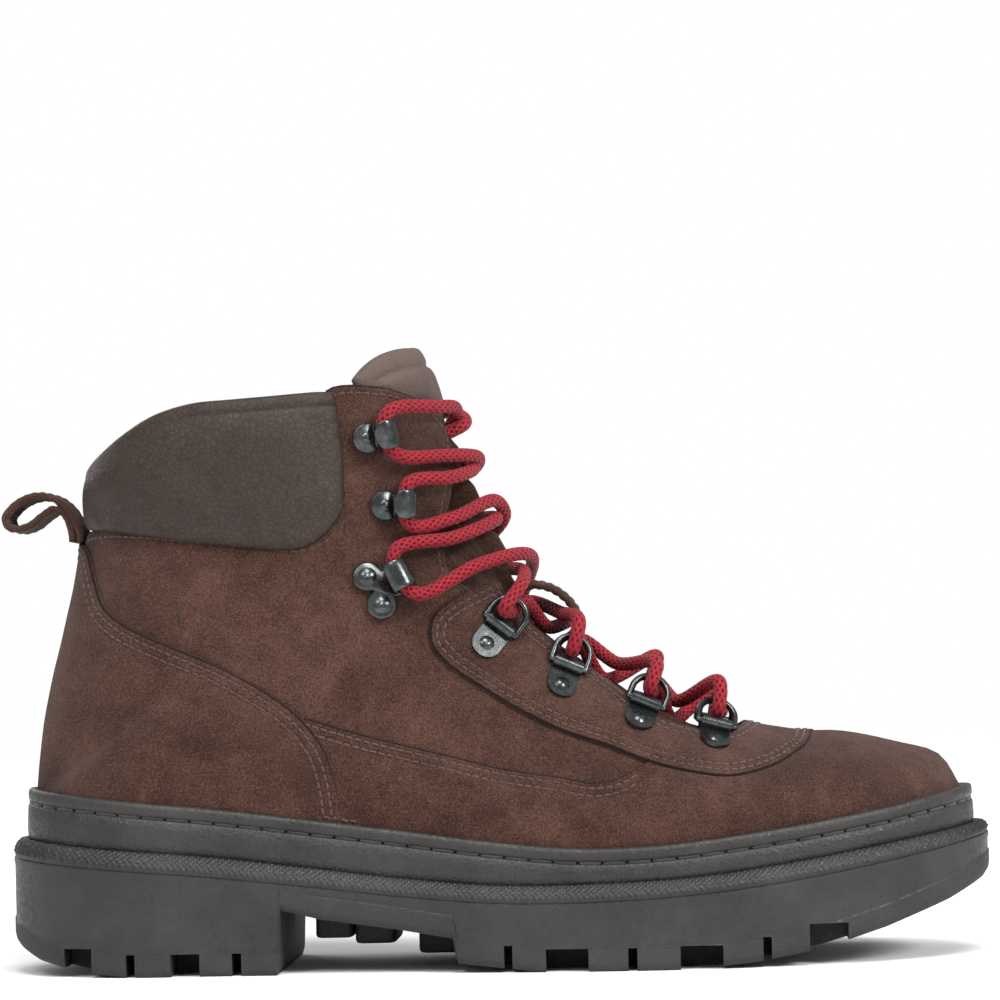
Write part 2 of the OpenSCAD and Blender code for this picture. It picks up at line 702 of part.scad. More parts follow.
// The lace's middle line, before the shift to the middle, from the toe up to its tucked ends. LACE_A starts through the outer ring
// nearest the toe, LACE_B through the inner one. Each goes round every ring and hook of its own,
// changes sides between them, and drops inside the shaft beside the tongue.
LACE_A = [
    [70, -12, 78.5], [69.5, -16, 76.5], [70.5, -20.5, 79], [71, -18.5, 86.5], [57.5, 2, 81], [51, 17, 86.5],
    [49, 20.5, 84.5], [49, 25.5, 87.5], [51.5, 21.5, 95], [34.5, 0.5, 88.5], [26.5, -16.5, 101],
    [25, -19.5, 98], [25.5, -24.5, 98.5], [27.5, -24.5, 105.5], [21, -1, 110], [9, 16, 113.5],
    [6.5, 18, 111], [6, 23.5, 111], [8, 25, 116.5], [14.5, -2, 129], [-4, -26, 125],
    [-22.5, -34.5, 116.5], [-26, -34.5, 119], [-29.5, -33.5, 125.5], [-29, -33, 130], [-11, -23.5, 134],
    [2.5, -3, 140.5], [-4, 8, 141], [-12, 16.5, 140], [-24, 24, 138], [-26, 25, 141.5],
    [-26, 25, 147.5], [-24.5, 24.5, 151], [-12.5, 14.5, 154.5], [-2, 6.5, 157.5], [0, -2, 160.5],
    [-6, -11, 160.5], [-13.5, -19, 159.5], [-28.5, -32, 160.5], [-30.5, -33, 163.5], [-32, -33.5, 169],
    [-30.5, -33, 173], [-15.5, -18.5, 175.5], [-10.5, -7, 175.5], [-11.5, -1, 172.5], [-14.5, 0.5, 168],
    [-19, 1, 163.5], [-24, 4, 159.5], [-28.5, 9.5, 153.5], [-36, 13.5, 146], [-42, 15.5, 132],
    [-44, 17.5, 100], [-43, 18, 68], [-39, 17, 51], [-30, 16, 49.8]
];
LACE_B = [
    [70, 17.5, 78.5], [69.5, 21.5, 76.5], [70, 26.5, 79.5], [70.5, 22, 86], [56, 2, 75],
    [51, -15, 86.5], [49.5, -18.5, 84], [49.5, -23.5, 86.5], [51.5, -21.5, 92.5], [38.5, 0.5, 93.5],
    [26.5, 14.5, 101], [25, 17.5, 98], [24.5, 24.5, 100.5], [26.5, 20.5, 107.5], [17, -1, 105.5],
    [9.5, -19, 113.5], [6.5, -22.5, 110.5], [4.5, -28.5, 111.5], [9, -26.5, 117.5], [8.5, -2, 124],
    [-5.5, 21, 123], [-22.5, 28.5, 116.5], [-26, 28.5, 119], [-29.5, 27.5, 125.5], [-29, 27, 130],
    [-9, 20, 131.5], [6.5, 6, 142.5], [2.5, -3, 146.5], [-12, -22, 140], [-24, -30, 138],
    [-26, -31, 141.5], [-26, -31, 147.5], [-24.5, -30.5, 151], [-12, -21, 153], [-5.5, -2, 157],
    [-9, 5.5, 159.5], [-13, 14, 161], [-28.5, 26, 160.5], [-30.5, 27, 163.5], [-32, 27.5, 169],
    [-30.5, 27, 173], [-15.5, 14, 176], [-4, 5, 173.5], [-5.5, -3.5, 170.5], [-14, -6, 167.5],
    [-19, -6.5, 163.5], [-24, -10, 159.5], [-28.5, -15.5, 153.5], [-36, -19.5, 146], [-42, -21.5, 132],
    [-44, -23.5, 100], [-43, -23, 68], [-39, -20, 51], [-30, -19, 49.8]
];
LACE_TOE = [71.5, 2.5, 77.5];
LACE = [for (p = concat(reversed(LACE_A), [LACE_TOE], LACE_B)) p + [0, centre_y, 0]];
lace_sides = 8;

function heading(line, i) =
    unit(line[min(i + 1, len(line) - 1)] - line[max(i - 1, 0)]);
// Carries a normal from ring to ring without twisting it.
function carried(line, i, n) =
    let (t = heading(line, i)) unit(n - (n * t) * t);
function normals(line, i, n) =
    i == len(line) ? [] : let (m = carried(line, i, n)) concat([m], normals(line, i + 1, m));
module tube(line, d) {
    across = normals(line, 0, [0, 1, 0]);
    rings = len(line);
    points = [for (i = [0:rings - 1], k = [0:lace_sides - 1])
        let (a = 360 * k / lace_sides, n = across[i], m = cross(heading(line, i), n))
        line[i] + d / 2 * (cos(a) * n + sin(a) * m)];
    walls = [for (i = [0:rings - 2], k = [0:lace_sides - 1])
        let (a = i * lace_sides + k, b = i * lace_sides + (k + 1) % lace_sides)
        [a, b, b + lace_sides, a + lace_sides]];
    faces = concat([[for (k = [0:lace_sides - 1]) k]],
                   [for (q = walls) each [[q[0], q[2], q[1]], [q[0], q[3], q[2]]]],
                   [[for (k = [lace_sides - 1:-1:0]) (rings - 1) * lace_sides + k]]);
    polyhedron(points, faces);
}
module lace() {
    color(RED) tube(LACE, lace_d);
}
module aglets() {
    color(METAL)
    for (line = [LACE_A, LACE_B]) {
        last = len(line) - 1;
        end = line[last] + [0, centre_y, 0];
        way = unit(line[last] - line[last - 1]);
        multmatrix([[way[0], -way[1], 0, end[0]], [way[1], way[0], 0, end[1]],
                    [way[2], 0, 1, end[2]], [0, 0, 0, 1]])
            rotate([0, 90, 0])
                cylinder(d = lace_d - 0.6, h = aglet_l);
    }
}

outsole();
midsole();
welt();
insole_board();
shank();
footbed();
lining();
heel_stiffener();
toe_puff();
vamp();
quarter(-1);  // quarter_lateral
quarter(1);  // quarter_medial
heel_counter();
eyestay();
collar_pad();
pull_loop();
tongue_lower();
tongue_upper();
lace_keeper();
gusset(-1);  // gusset_lateral
gusset(1);  // gusset_medial
for (k = RINGS, s = SIDES) {
    ring_clip(k, s);
    d_ring(k, s);
}
for (s = SIDES) {
    locking_hook(s);
    speed_hook(LOWER_AT, s);
    speed_hook(UPPER_AT, s);
}
rivets();
lace();
aglets();
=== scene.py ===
import math

import bmesh
import bpy
import numpy as np
from mathutils import Matrix, Vector


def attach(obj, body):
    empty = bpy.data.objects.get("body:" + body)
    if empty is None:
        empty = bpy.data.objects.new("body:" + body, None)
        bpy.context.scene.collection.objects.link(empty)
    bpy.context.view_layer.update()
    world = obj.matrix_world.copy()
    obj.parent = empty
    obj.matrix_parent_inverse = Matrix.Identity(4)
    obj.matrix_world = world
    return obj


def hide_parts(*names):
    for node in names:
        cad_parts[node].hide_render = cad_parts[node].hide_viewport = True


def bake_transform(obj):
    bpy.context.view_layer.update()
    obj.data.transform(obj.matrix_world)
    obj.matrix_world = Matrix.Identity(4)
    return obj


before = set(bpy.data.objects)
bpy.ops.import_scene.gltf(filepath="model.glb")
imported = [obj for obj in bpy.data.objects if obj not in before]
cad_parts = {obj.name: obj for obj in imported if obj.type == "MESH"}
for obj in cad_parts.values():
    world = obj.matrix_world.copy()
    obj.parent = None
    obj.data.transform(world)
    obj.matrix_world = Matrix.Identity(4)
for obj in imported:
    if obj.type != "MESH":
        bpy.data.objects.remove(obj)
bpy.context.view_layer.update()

MM = 0.001

# Shapes below are in millimetres: +X to the toe, -Y to the outer side, +Z up.


def show(name, data):
    """A new object in the scene for a mesh, a lamp or the camera."""
    obj = bpy.data.objects.new(name, data)
    bpy.context.collection.objects.link(obj)
    return obj


# ---- Camera ----

TARGET = Vector((2.5, 0, 146.5))
VIEW_DISTANCE = 1200
VIEW_TURN = math.radians(2.5)
EYE_HEIGHT = 95.5
ROLL = math.radians(-1.35)
LENS = 135
SENSOR_WIDTH = 36


def make_camera():
    eye = Vector((TARGET.x + VIEW_DISTANCE * math.sin(VIEW_TURN),
                  -VIEW_DISTANCE * math.cos(VIEW_TURN), EYE_HEIGHT))
    ahead = (TARGET - eye).normalized()
    right = ahead.cross(Vector((0, 0, 1))).normalized()
    up = right.cross(ahead)
    right, up = (right * math.cos(ROLL) + up * math.sin(ROLL),
                 up * math.cos(ROLL) - right * math.sin(ROLL))
    data = bpy.data.cameras.new("camera")
    data.lens = LENS
    data.sensor_width = SENSOR_WIDTH
    camera = show("camera", data)
    turn = Matrix((right, up, -ahead)).transposed().to_4x4()
    camera.matrix_world = Matrix.Translation(eye * MM) @ turn
    bpy.context.scene.camera = camera


make_camera()


# ---- Curves and grids ----

def smooth(t):
    c = np.clip(t, 0, 1)
    return c * c * (3 - 2 * c)


def hermite(s, start, leave, end, arrive):
    """Cubic from start to end at the share s, with the given slopes at its two ends."""
    return ((2 * s ** 3 - 3 * s ** 2 + 1) * start + (s ** 3 - 2 * s ** 2 + s) * leave
            + (3 * s ** 2 - 2 * s ** 3) * end + (s ** 3 - s ** 2) * arrive)


def through(points, knots, t):
    """Smooth curve that passes the points at the knots, evaluated at every t."""
    points = np.asarray(points, float)
    knots = np.asarray(knots, float)
    t = np.clip(np.asarray(t, float), knots[0], knots[-1])
    gap = np.diff(knots)[:, None]
    slope = np.diff(points, axis=0) / gap
    tangent = np.empty_like(points)
    tangent[1:-1] = (slope[:-1] * gap[1:] + slope[1:] * gap[:-1]) / (gap[1:] + gap[:-1])
    tangent[0] = slope[0]
    tangent[-1] = slope[-1]
    i = np.clip(np.searchsorted(knots, t, side="right") - 1, 0, len(gap) - 1)
    s = ((t - knots[i]) / gap[i, 0])[:, None]
    return hermite(s, points[i], gap[i] * tangent[i], points[i + 1], gap[i] * tangent[i + 1])


def steps(line):
    return np.linalg.norm(np.diff(line, axis=0), axis=1)


def sums(values):
    """Running total, starting at 0."""
    return np.concatenate([[0], np.cumsum(values)])


def lengths(line):
    """Distance along a line of points, from its first point."""
    return sums(steps(line))


def resample(line, step):
    """Points of a line at an even step."""
    run = lengths(line)
    t = np.linspace(0, run[-1], max(int(round(run[-1] / step)), 1) + 1)
    return np.stack([np.interp(t, run, line[:, k]) for k in range(line.shape[1])], axis=1)


def smooth_line(points, step):
    points = np.asarray(points, float)
    run = lengths(points)
    dense = through(points, run, np.linspace(0, run[-1], len(points) * 12))
    return resample(dense, step)


def angles(count):
    """Evenly spaced angles, once round."""
    return np.arange(count) * 2 * math.pi / count


def squarish(v, power):
    """A sine or cosine flattened towards 1 and -1, which squares up a circle."""
    return np.sign(v) * np.abs(v) ** power


def unit(v):
    return v / np.maximum(np.linalg.norm(v, axis=-1, keepdims=True), 1e-9)


def headings(line):
    return unit(np.gradient(line, axis=0))


def curve_z(table, x):
    table = np.asarray(table, float)
    return through(table[:, 1:], table[:, 0], np.ravel(x))[:, 0].reshape(np.shape(x))


def from_line(grid, line):
    """Distance from every point of a grid to the nearest point of a line."""
    points = grid.reshape(-1, 3)
    out = np.empty(len(points))
    for start in range(0, len(points), 2000):
        part = points[start:start + 2000]
        out[start:start + 2000] = np.sqrt(((part[:, None] - line[None]) ** 2).sum(-1).min(1))
    return out.reshape(grid.shape[:-1])


# ---- The upper's outer surface, as in the CAD model ----

# Each station is a curve from the feather line (w = 0) up to the ridge (w = 1): x, half width and z
# of its foot, x and z of its top, then the share of the rise and the half width at its two middle
# control points. Stations are numbered by u, from the toe to the heel and on up the back.
STATIONS = np.array([
    [147, 0, 48.6, 146, 53, 0.40, 4, 1, 3],
    [144, 14, 48.0, 140, 62, 0.50, 17, 1, 11],
    [135, 27, 46.2, 128, 66, 0.55, 30, 1, 20],
    [119, 37, 43.0, 110, 70, 0.55, 40, 1, 27],
    [98, 43, 39.5, 92, 71, 0.55, 46, 1, 30],
    [74, 46, 36.2, 76, 75, 0.55, 51, 1, 28],
    [50, 46, 33.8, 61, 82, 0.55, 52, 1, 24],
    [25, 43, 33.4, 46, 90, 0.55, 50, 1, 22],
    [0, 39, 35.8, 32, 100, 0.50, 46, 1, 22],
    [-28, 35, 39.6, 20, 111, 0.45, 42, 1, 24],
    [-58, 34, 43.7, 11, 121, 0.40, 38, 1, 27],
    [-88, 34, 47.5, 6, 130, 0.35, 38, 1, 31],
    [-112, 34, 50.0, 2, 137, 0.28, 40, 1, 34],
    [-132, 27, 52.3, -1, 143, 0.18, 42, 1, 36],
    [-143, 15, 53.6, -3, 148, 0.07, 44, 1, 38],
    [-147, 0, 54.2, -5, 153, 0.00, 46, 1, 40],
    [-144, 0, 80, -8, 161, 0.00, 46, 1, 42],
    [-138, 0, 105, -11, 169, 0.00, 46, 1, 43],
    [-133, 0, 127, -14, 178, 0.00, 48, 1, 44],
    [-131, 0, 148, -18, 188, 0.00, 50, 1, 46],
    [-127, 0, 168, -22, 199, 0.00, 51, 1, 48],
    [-124, 0, 188, -26, 211, 0.00, 52, 1, 49],
], float)
HEEL_U = 15
TOP_U = len(STATIONS) - 1
CENTRE_Y = -2.2
LATERAL, MEDIAL = -1, 1
BOTH = (LATERAL, MEDIAL)
AFTER = np.concatenate([STATIONS[1:], STATIONS[-1:]])
BEFORE = np.concatenate([STATIONS[:1], STATIONS[:-1]])
SLOPES = (AFTER - BEFORE) / 2
# The seam stays level as far as the heel, then turns up the back.
SLOPES[HEEL_U, 2] = 1.2


def along(u):
    """Smooth curve through the stations."""
    u = np.asarray(u, float)
    i = np.clip(np.floor(u).astype(int), 0, TOP_U - 1)
    t = (u - i)[..., None]
    return hermite(t, STATIONS[i], SLOPES[i], STATIONS[i + 1], SLOPES[i + 1])


def bend(x):
    return CENTRE_Y - 3 * smooth((x + 100) / 60) + 10 * smooth((x + 30) / 180)


def bare(u, w, side):
    """Points of the surface itself."""
    s = along(u)
    b = 3 * w * (1 - w) ** 2
    c = 3 * w * w * (1 - w)
    rise = b * s[..., 5] + c * s[..., 7] + w ** 3
    x = s[..., 0] + (s[..., 3] - s[..., 0]) * rise
    y = np.maximum((1 - w) ** 3 * s[..., 1] + b * s[..., 6] + c * s[..., 8], 0)
    z = s[..., 2] + (s[..., 4] - s[..., 2]) * rise
    return np.stack([x, side * y + bend(x), z], axis=-1)


def outward(u, w, side):
    e = 0.001
    w1 = np.minimum(w + e, 1)
    u1 = np.minimum(u + e, TOP_U)
    du = bare(u1, w1 - e, side) - bare(u1 - 2 * e, w1 - e, side)
    dw = bare(u1 - e, w1, side) - bare(u1 - e, w1 - 2 * e, side)
    return np.asarray(side)[..., None] * unit(np.cross(du, dw))


def skin(u, w, side, off):
    """Points at a distance off outside the surface."""
    side = np.broadcast_to(np.asarray(side, float), np.shape(u))
    return bare(u, w, side) + np.asarray(off)[..., None] * outward(u, w, side)


def at(x, z):
    """[u, w] of the surface point that the side view shows at (x, z)."""
    lo, hi = 0.0, float(TOP_U)
    for _ in range(24):
        u = (lo + hi) / 2
        s = along(u)
        if (s[3] - s[0]) * (z - s[2]) - (s[4] - s[2]) * (x - s[0]) > 0:
            lo = u
        else:
            hi = u
    d = s[[3, 4]] - s[[0, 2]]
    rise = np.dot([x - s[0], z - s[2]], d) / np.dot(d, d)
    low, high = 0.0, 1.0
    for _ in range(20):
        w = (low + high) / 2
        if 3 * w * (1 - w) ** 2 * s[5] + 3 * w * w * (1 - w) * s[7] + w ** 3 < rise:
            low = w
        else:
            high = w
    return [u, w]


def settle(points, u, w, side):
    """[u, w] of the surface points nearest to the given points, from a first guess."""
    e = 0.002
    for _ in range(4):
        u = np.clip(u, e, TOP_U - e)
        w = np.clip(w, 0, 1)
        here = bare(u, w, side)
        du = (bare(u + e, w, side) - bare(u - e, w, side)) / (2 * e)
        w_low = np.maximum(w - e, 0)
        w_high = np.minimum(w + e, 1)
        dw = (bare(u, w_high, side) - bare(u, w_low, side)) / (w_high - w_low)[:, None]
        gap = points - here
        a, b, c = (du * du).sum(-1), (du * dw).sum(-1), (dw * dw).sum(-1)
        p, q = (gap * du).sum(-1), (gap * dw).sum(-1)
        det = np.maximum(a * c - b * b, 1e-9)
        u = u + np.clip((c * p - b * q) / det, -0.5, 0.5)
        w = w + np.clip((a * q - b * p) / det, -0.1, 0.1)
    return np.clip(u, 0, TOP_U), np.clip(w, 0, 1)


# ---- Meshes ----

def mend(mesh, merge=0.0, fill=False):
    """Turns the normals outward, after joining points closer than merge and filling the holes."""
    work = bmesh.new()
    work.from_mesh(mesh)
    if merge:
        bmesh.ops.remove_doubles(work, verts=work.verts, dist=merge * MM)
    if fill:
        bmesh.ops.holes_fill(work, edges=work.edges)
    bmesh.ops.recalc_face_normals(work, faces=work.faces)
    work.to_mesh(mesh)
    work.free()


def shade_smooth(mesh):
    mesh.polygons.foreach_set("use_smooth", [True] * len(mesh.polygons))


def add_mesh(name, verts, faces, material):
    """A smooth-shaded mesh from points in millimetres, its normals turned outward."""
    data = bpy.data.meshes.new(name)
    data.from_pydata((np.asarray(verts) * MM).tolist(), [], faces)
    mend(data)
    shade_smooth(data)
    data.materials.append(material)
    return show(name, data)


def belong(piece, slot, *nodes, body="boot"):
    """Makes a piece ride on a body and stand for its CAD nodes; the slot is not used."""
    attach(piece, body)
    if nodes:
        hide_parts(*nodes)


def quads(rows, cols, start=0, wrap_rows=False, wrap_cols=False):
    i = np.arange(rows if wrap_rows else rows - 1)[:, None]
    j = np.arange(cols if wrap_cols else cols - 1)[None]
    a = start + i * cols + j
    b = start + ((i + 1) % rows) * cols + j
    c = start + ((i + 1) % rows) * cols + (j + 1) % cols
    d = start + i * cols + (j + 1) % cols
    return np.stack([a, b, c, d], axis=-1).reshape(-1, 4)


def shell(name, outer, inner, material, wrap_rows=False):
    """Closed sheet between two grids of points."""
    rows, cols = outer.shape[:2]
    total = rows * cols
    faces = [quads(rows, cols, 0, wrap_rows), quads(rows, cols, total, wrap_rows)[:, ::-1]]
    index = np.arange(total).reshape(rows, cols)
    edges = [index[:, 0], index[:, -1]]
    if wrap_rows:
        edges = [np.append(e, e[0]) for e in edges]
    else:
        edges += [index[0], index[-1]]
    for e in edges:
        faces.append(np.stack([e[:-1], e[1:], e[1:] + total, e[:-1] + total], axis=-1))
    verts = np.concatenate([outer.reshape(-1, 3), inner.reshape(-1, 3)])
    return add_mesh(name, verts, np.concatenate(faces).tolist(), material)


def tube_faces(rows, cols):
    """Faces of a tube of closed rings, with a cap on either end."""
    caps = [list(range(cols)), list(range((rows - 1) * cols, rows * cols))[::-1]]
    return quads(rows, cols, 0, wrap_cols=True).tolist() + caps


def ring_mesh(name, rings, material, capped=True):
    """Surface through closed rings of points, either capped at both ends or joined into a hoop."""
    rings = np.asarray(rings)
    rows, cols = rings.shape[:2]
    if capped:
        faces = tube_faces(rows, cols)
    else:
        faces = quads(rows, cols, 0, wrap_rows=True, wrap_cols=True).tolist()
    return add_mesh(name, rings.reshape(-1, 3), faces, material)


# ---- Materials ----

class Nodes:
    """Short way to lay out a material's nodes."""

    def __init__(self, name):
        self.material = bpy.data.materials.new(name)
        self.material.use_nodes = True
        self.tree = self.material.node_tree
        self.shader = self.tree.nodes["Principled BSDF"]
        self.place = self.add("ShaderNodeTexCoord").outputs["Object"]

    def add(self, kind, **values):
        """New node. Each value goes to the property of that name, or else to the input."""
        node = self.tree.nodes.new(kind)
        for key, value in values.items():
            if hasattr(node, key):
                setattr(node, key, value)
            else:
                node.inputs[key.replace("_", " ")].default_value = value
        return node

    def link(self, source, target):
        self.tree.links.new(source, target)

    def give(self, socket, value):
        """Sets a socket to a number or a colour, or links another node's output to it."""
        if isinstance(value, (int, float)):
            socket.default_value = value
        elif isinstance(value, tuple):
            socket.default_value = (*value, 1)
        else:
            self.link(value, socket)

    def noise(self, scale, detail=3, rough=0.55, warp=0.0, stretch=None):
        node = self.add("ShaderNodeTexNoise", Scale=scale, Detail=detail, Roughness=rough,
                        Distortion=warp)
        place = self.place
        if stretch:
            turn = self.add("ShaderNodeMapping", Scale=stretch)
            self.link(place, turn.inputs["Vector"])
            place = turn.outputs["Vector"]
        self.link(place, node.inputs["Vector"])
        return node.outputs["Fac"]

    def cells(self, scale, feature="F1"):
        node = self.add("ShaderNodeTexVoronoi", feature=feature, Scale=scale)
        self.link(self.place, node.inputs["Vector"])
        return node.outputs["Distance"]

    def ramp(self, source, stops):
        """Colour ramp. A stop is a place and a colour, or a place and a grey."""
        node = self.add("ShaderNodeValToRGB")
        line = node.color_ramp
        while len(line.elements) < len(stops):
            line.elements.new(0.5)
        for element, (position, color) in zip(line.elements, stops):
            element.position = position
            element.color = (*color, 1) if isinstance(color, tuple) else (color, color, color, 1)
        self.link(source, node.inputs["Fac"])
        return node.outputs["Color"]

    def math(self, operation, a, b=None):
        node = self.add("ShaderNodeMath", operation=operation)
        self.give(node.inputs[0], a)
        if b is not None:
            self.give(node.inputs[1], b)
        return node.outputs["Value"]

    def times(self, a, b):
        return self.math("MULTIPLY", a, b)

    def plus(self, a, b):
        return self.math("ADD", a, b)

    def mix(self, a, b, factor):
        node = self.add("ShaderNodeMix", data_type="RGBA")
        for index, value in ((0, factor), (6, a), (7, b)):
            self.give(node.inputs[index], value)
        return node.outputs[2]

    def bump(self, height, strength, distance, below=None):
        node = self.add("ShaderNodeBump", Strength=strength, Distance=distance)
        self.link(height, node.inputs["Height"])
        if below is not None:
            self.link(below, node.inputs["Normal"])
        return node.outputs["Normal"]

    def finish(self, color, rough, normal=None, sheen=0.0, metal=0.0, spec=0.5):
        shader = self.shader.inputs
        self.give(shader["Base Color"], color)
        self.give(shader["Roughness"], rough)
        if normal is not None:
            self.link(normal, shader["Normal"])
        shader["Sheen Weight"].default_value = sheen
        shader["Sheen Roughness"].default_value = 0.45
        shader["Metallic"].default_value = metal
        shader["Specular IOR Level"].default_value = spec
        shader["Coat Weight"].default_value = 0
        return self.material


def suede_material(name, dark, mid, light):
    """Brushed nap: soft cloudy patches where the nap lies over, speckle, and short fibres."""
    m = Nodes(name)
    cloud = m.noise(26, 3, 0.55, 0.6)
    patch = m.noise(95, 4, 0.6, 0.5)
    speckle = m.noise(1900, 2, 0.8)
    tone = m.plus(m.times(cloud, 0.16),
                  m.plus(m.times(patch, 0.22), m.times(speckle, 0.62)))
    color = m.ramp(tone, [(0.39, dark), (0.5, mid), (0.62, light)])
    nap = m.bump(m.noise(2000, 3, 0.85), 1.0, 0.0007)
    fold = m.bump(m.noise(330, 3, 0.6, 0.4), 0.5, 0.0007, nap)
    rough = m.ramp(cloud, [(0.3, 0.98), (0.7, 0.82)])
    return m.finish(color, rough, fold, sheen=0.08, spec=0.12)


def leather_material(name, dark, light, grain=700, rough=0.55):
    """Soft leather with a fine pebble: cells with rounded tops and open creases between them, the creases
    darkened with painted shade.
    """
    m = Nodes(name)
    pebble = m.cells(grain, "F1")
    crease = m.cells(grain, "DISTANCE_TO_EDGE")
    cloud = m.noise(60, 3, 0.6)
    color = m.mix(dark, light, cloud)
    # Painted shade: the colour darkens towards the creases between the pebble cells.
    crease_shade = tuple(0.45 * c for c in dark)
    color = m.mix(color, crease_shade, m.ramp(crease, [(0.0, 0.7), (0.12, 0)]))
    low = m.bump(crease, 0.45, 0.0007)
    top = m.bump(pebble, -0.3, 0.0004, low)
    fine = m.bump(m.noise(1600, 2, 0.7), 0.15, 0.0002, top)
    shine = m.ramp(m.noise(220, 3), [(0.35, rough - 0.07), (0.65, rough + 0.12)])
    return m.finish(color, shine, fine, spec=0.3)


def rubber_material(name, dark, light, grain, depth, rough=0.6):
    """Moulded rubber with a matt grain that is paler where its fine grain stands high."""
    m = Nodes(name)
    cloud = m.noise(45, 4, 0.6)
    fine = m.noise(700, 3, 0.7)
    tone = m.plus(m.times(cloud, 0.65), m.times(fine, 0.35))
    color = m.ramp(tone, [(0.35, dark), (0.65, light)])
    hide = m.bump(m.cells(grain, "DISTANCE_TO_EDGE"), 0.5, depth)
    normal = m.bump(fine, 0.3, 0.00025, hide)
    shine = m.ramp(fine, [(0.35, rough - 0.15), (0.65, rough + 0.15)])
    return m.finish(color, shine, normal, spec=0.4)


def metal_material(name, color, rough):
    """Dark plated metal with faint brushing and worn, brighter patches."""
    m = Nodes(name)
    cloud = m.noise(300, 3, 0.6)
    worn = m.ramp(cloud, [(0.45, 0), (0.75, 0.8)])
    tint = m.mix(color, tuple(min(c * 2.2, 1.0) for c in color), worn)
    brush = m.noise(2600, 2, 0.6, 0, (1, 1, 0.1))
    shine = m.ramp(brush, [(0.3, rough - 0.05), (0.7, rough + 0.1)])
    return m.finish(tint, shine, m.bump(brush, 0.08, 0.0001), metal=0.92, spec=0.6)


def fabric_material(name, dark, light, pitch, rough=0.9):
    """Fine knitted or woven textile: two crossing waves and a little fuzz."""
    m = Nodes(name)
    axes = m.add("ShaderNodeSeparateXYZ")
    m.link(m.place, axes.inputs["Vector"])
    run = 2 * math.pi / (pitch * MM)
    along_z = m.math("SINE", m.times(axes.outputs["Z"], run))
    both = m.plus(axes.outputs["X"], axes.outputs["Y"])
    across = m.math("SINE", m.times(both, run))
    weave = m.times(along_z, across)
    cloud = m.noise(70, 3)
    tone = m.plus(m.times(weave, 0.25), cloud)
    color = m.ramp(tone, [(0.25, dark), (0.75, light)])
    fuzz = m.bump(m.noise(2200, 2, 0.7), 0.25, 0.0002)
    return m.finish(color, rough, m.bump(weave, 0.35, 0.0003, fuzz), sheen=0.3, spec=0.2)


def lace_material(name):
    """Round braid: the UV map's first axis goes round the cord and its second runs along it."""
    m = Nodes(name)
    uv = m.add("ShaderNodeTexCoord").outputs["UV"]
    axes = m.add("ShaderNodeSeparateXYZ")
    m.link(uv, axes.inputs["Vector"])
    round_it = m.times(axes.outputs["X"], STRANDS)
    run = m.times(axes.outputs["Y"], BRAID_RATE)
    left = m.math("FRACT", m.plus(round_it, run))
    right = m.math("FRACT", m.math("SUBTRACT", round_it, run))
    hump_l = m.math("SINE", m.times(left, math.pi))
    hump_r = m.math("SINE", m.times(right, math.pi))
    height = m.math("MAXIMUM", hump_l, hump_r)
    # Painted shade in the holes: darkest where the valleys between every other strand each way cross.
    hole_l = m.math("FRACT", m.times(m.plus(round_it, run), 0.5))
    hole_r = m.math("FRACT", m.times(m.math("SUBTRACT", round_it, run), 0.5))
    near_l = m.math("LESS_THAN", m.math("ABSOLUTE", m.math("SUBTRACT", hole_l, 0.5)), 0.13)
    near_r = m.math("LESS_THAN", m.math("ABSOLUTE", m.math("SUBTRACT", hole_r, 0.5)), 0.13)
    hole_shade = m.times(near_l, near_r)
    cloud = m.noise(500, 2)
    red = m.mix((0.20, 0.003, 0.010), (0.34, 0.006, 0.020), cloud)
    shade = m.mix(red, (0.05, 0.001, 0.004), m.ramp(height, [(0.5, 0.95), (0.86, 0)]))
    color = m.mix(shade, (0.035, 0.001, 0.004), hole_shade)
    weave = m.bump(height, 0.9, 0.0007)
    fuzz = m.bump(m.noise(2400, 2, 0.7), 0.25, 0.0002, weave)
    return m.finish(color, 0.62, fuzz, sheen=0.08, spec=0.25)


STRANDS = 7
BRAID_RATE = 0.36
SUEDE = suede_material("suede", (0.026, 0.0115, 0.0078), (0.064, 0.029, 0.0205),
                       (0.125, 0.062, 0.046))
# Painted shadow over the cut edge's darker tone: a much darker suede for the faces along a panel's rounded
# edges.
SUEDE_EDGE_SHADE = suede_material("suede_edge_shade", (0.006, 0.003, 0.0024), (0.011, 0.0055, 0.0042),
                            (0.02, 0.0105, 0.008))
LEATHER = leather_material("soft_leather", (0.023, 0.0145, 0.0115), (0.046, 0.030, 0.024), 540)
TONGUE_LEATHER = leather_material("tongue_leather", (0.080, 0.052, 0.044), (0.140, 0.098, 0.085),
                                  1500, 0.5)
RUBBER = rubber_material("outsole_rubber", (0.014, 0.0135, 0.013), (0.032, 0.031, 0.030), 900,
                         0.0003, 0.5)
LUG_RUBBER = rubber_material("lug_rubber", (0.018, 0.0175, 0.017), (0.037, 0.0355, 0.034), 900,
                             0.0005, 0.75)
WALL_RUBBER = rubber_material("sidewall_rubber", (0.015, 0.0142, 0.0137), (0.034, 0.032, 0.0305),
                              620, 0.0005, 0.5)
METAL = metal_material("gunmetal", (0.055, 0.060, 0.060), 0.22)
STEEL = metal_material("shank_steel", (0.45, 0.45, 0.46), 0.35)
LINING = fabric_material("lining_textile", (0.012, 0.012, 0.013), (0.045, 0.044, 0.046), 1.1)
FOOTBED = fabric_material("footbed_cloth", (0.03, 0.03, 0.032), (0.09, 0.088, 0.09), 1.6)
THREAD = fabric_material("thread", (0.048, 0.026, 0.020), (0.115, 0.066, 0.051), 0.5, 0.7)
WELT_THREAD = fabric_material("welt_thread", (0.02, 0.0185, 0.0175), (0.055, 0.05, 0.0475), 0.7,
                              0.7)
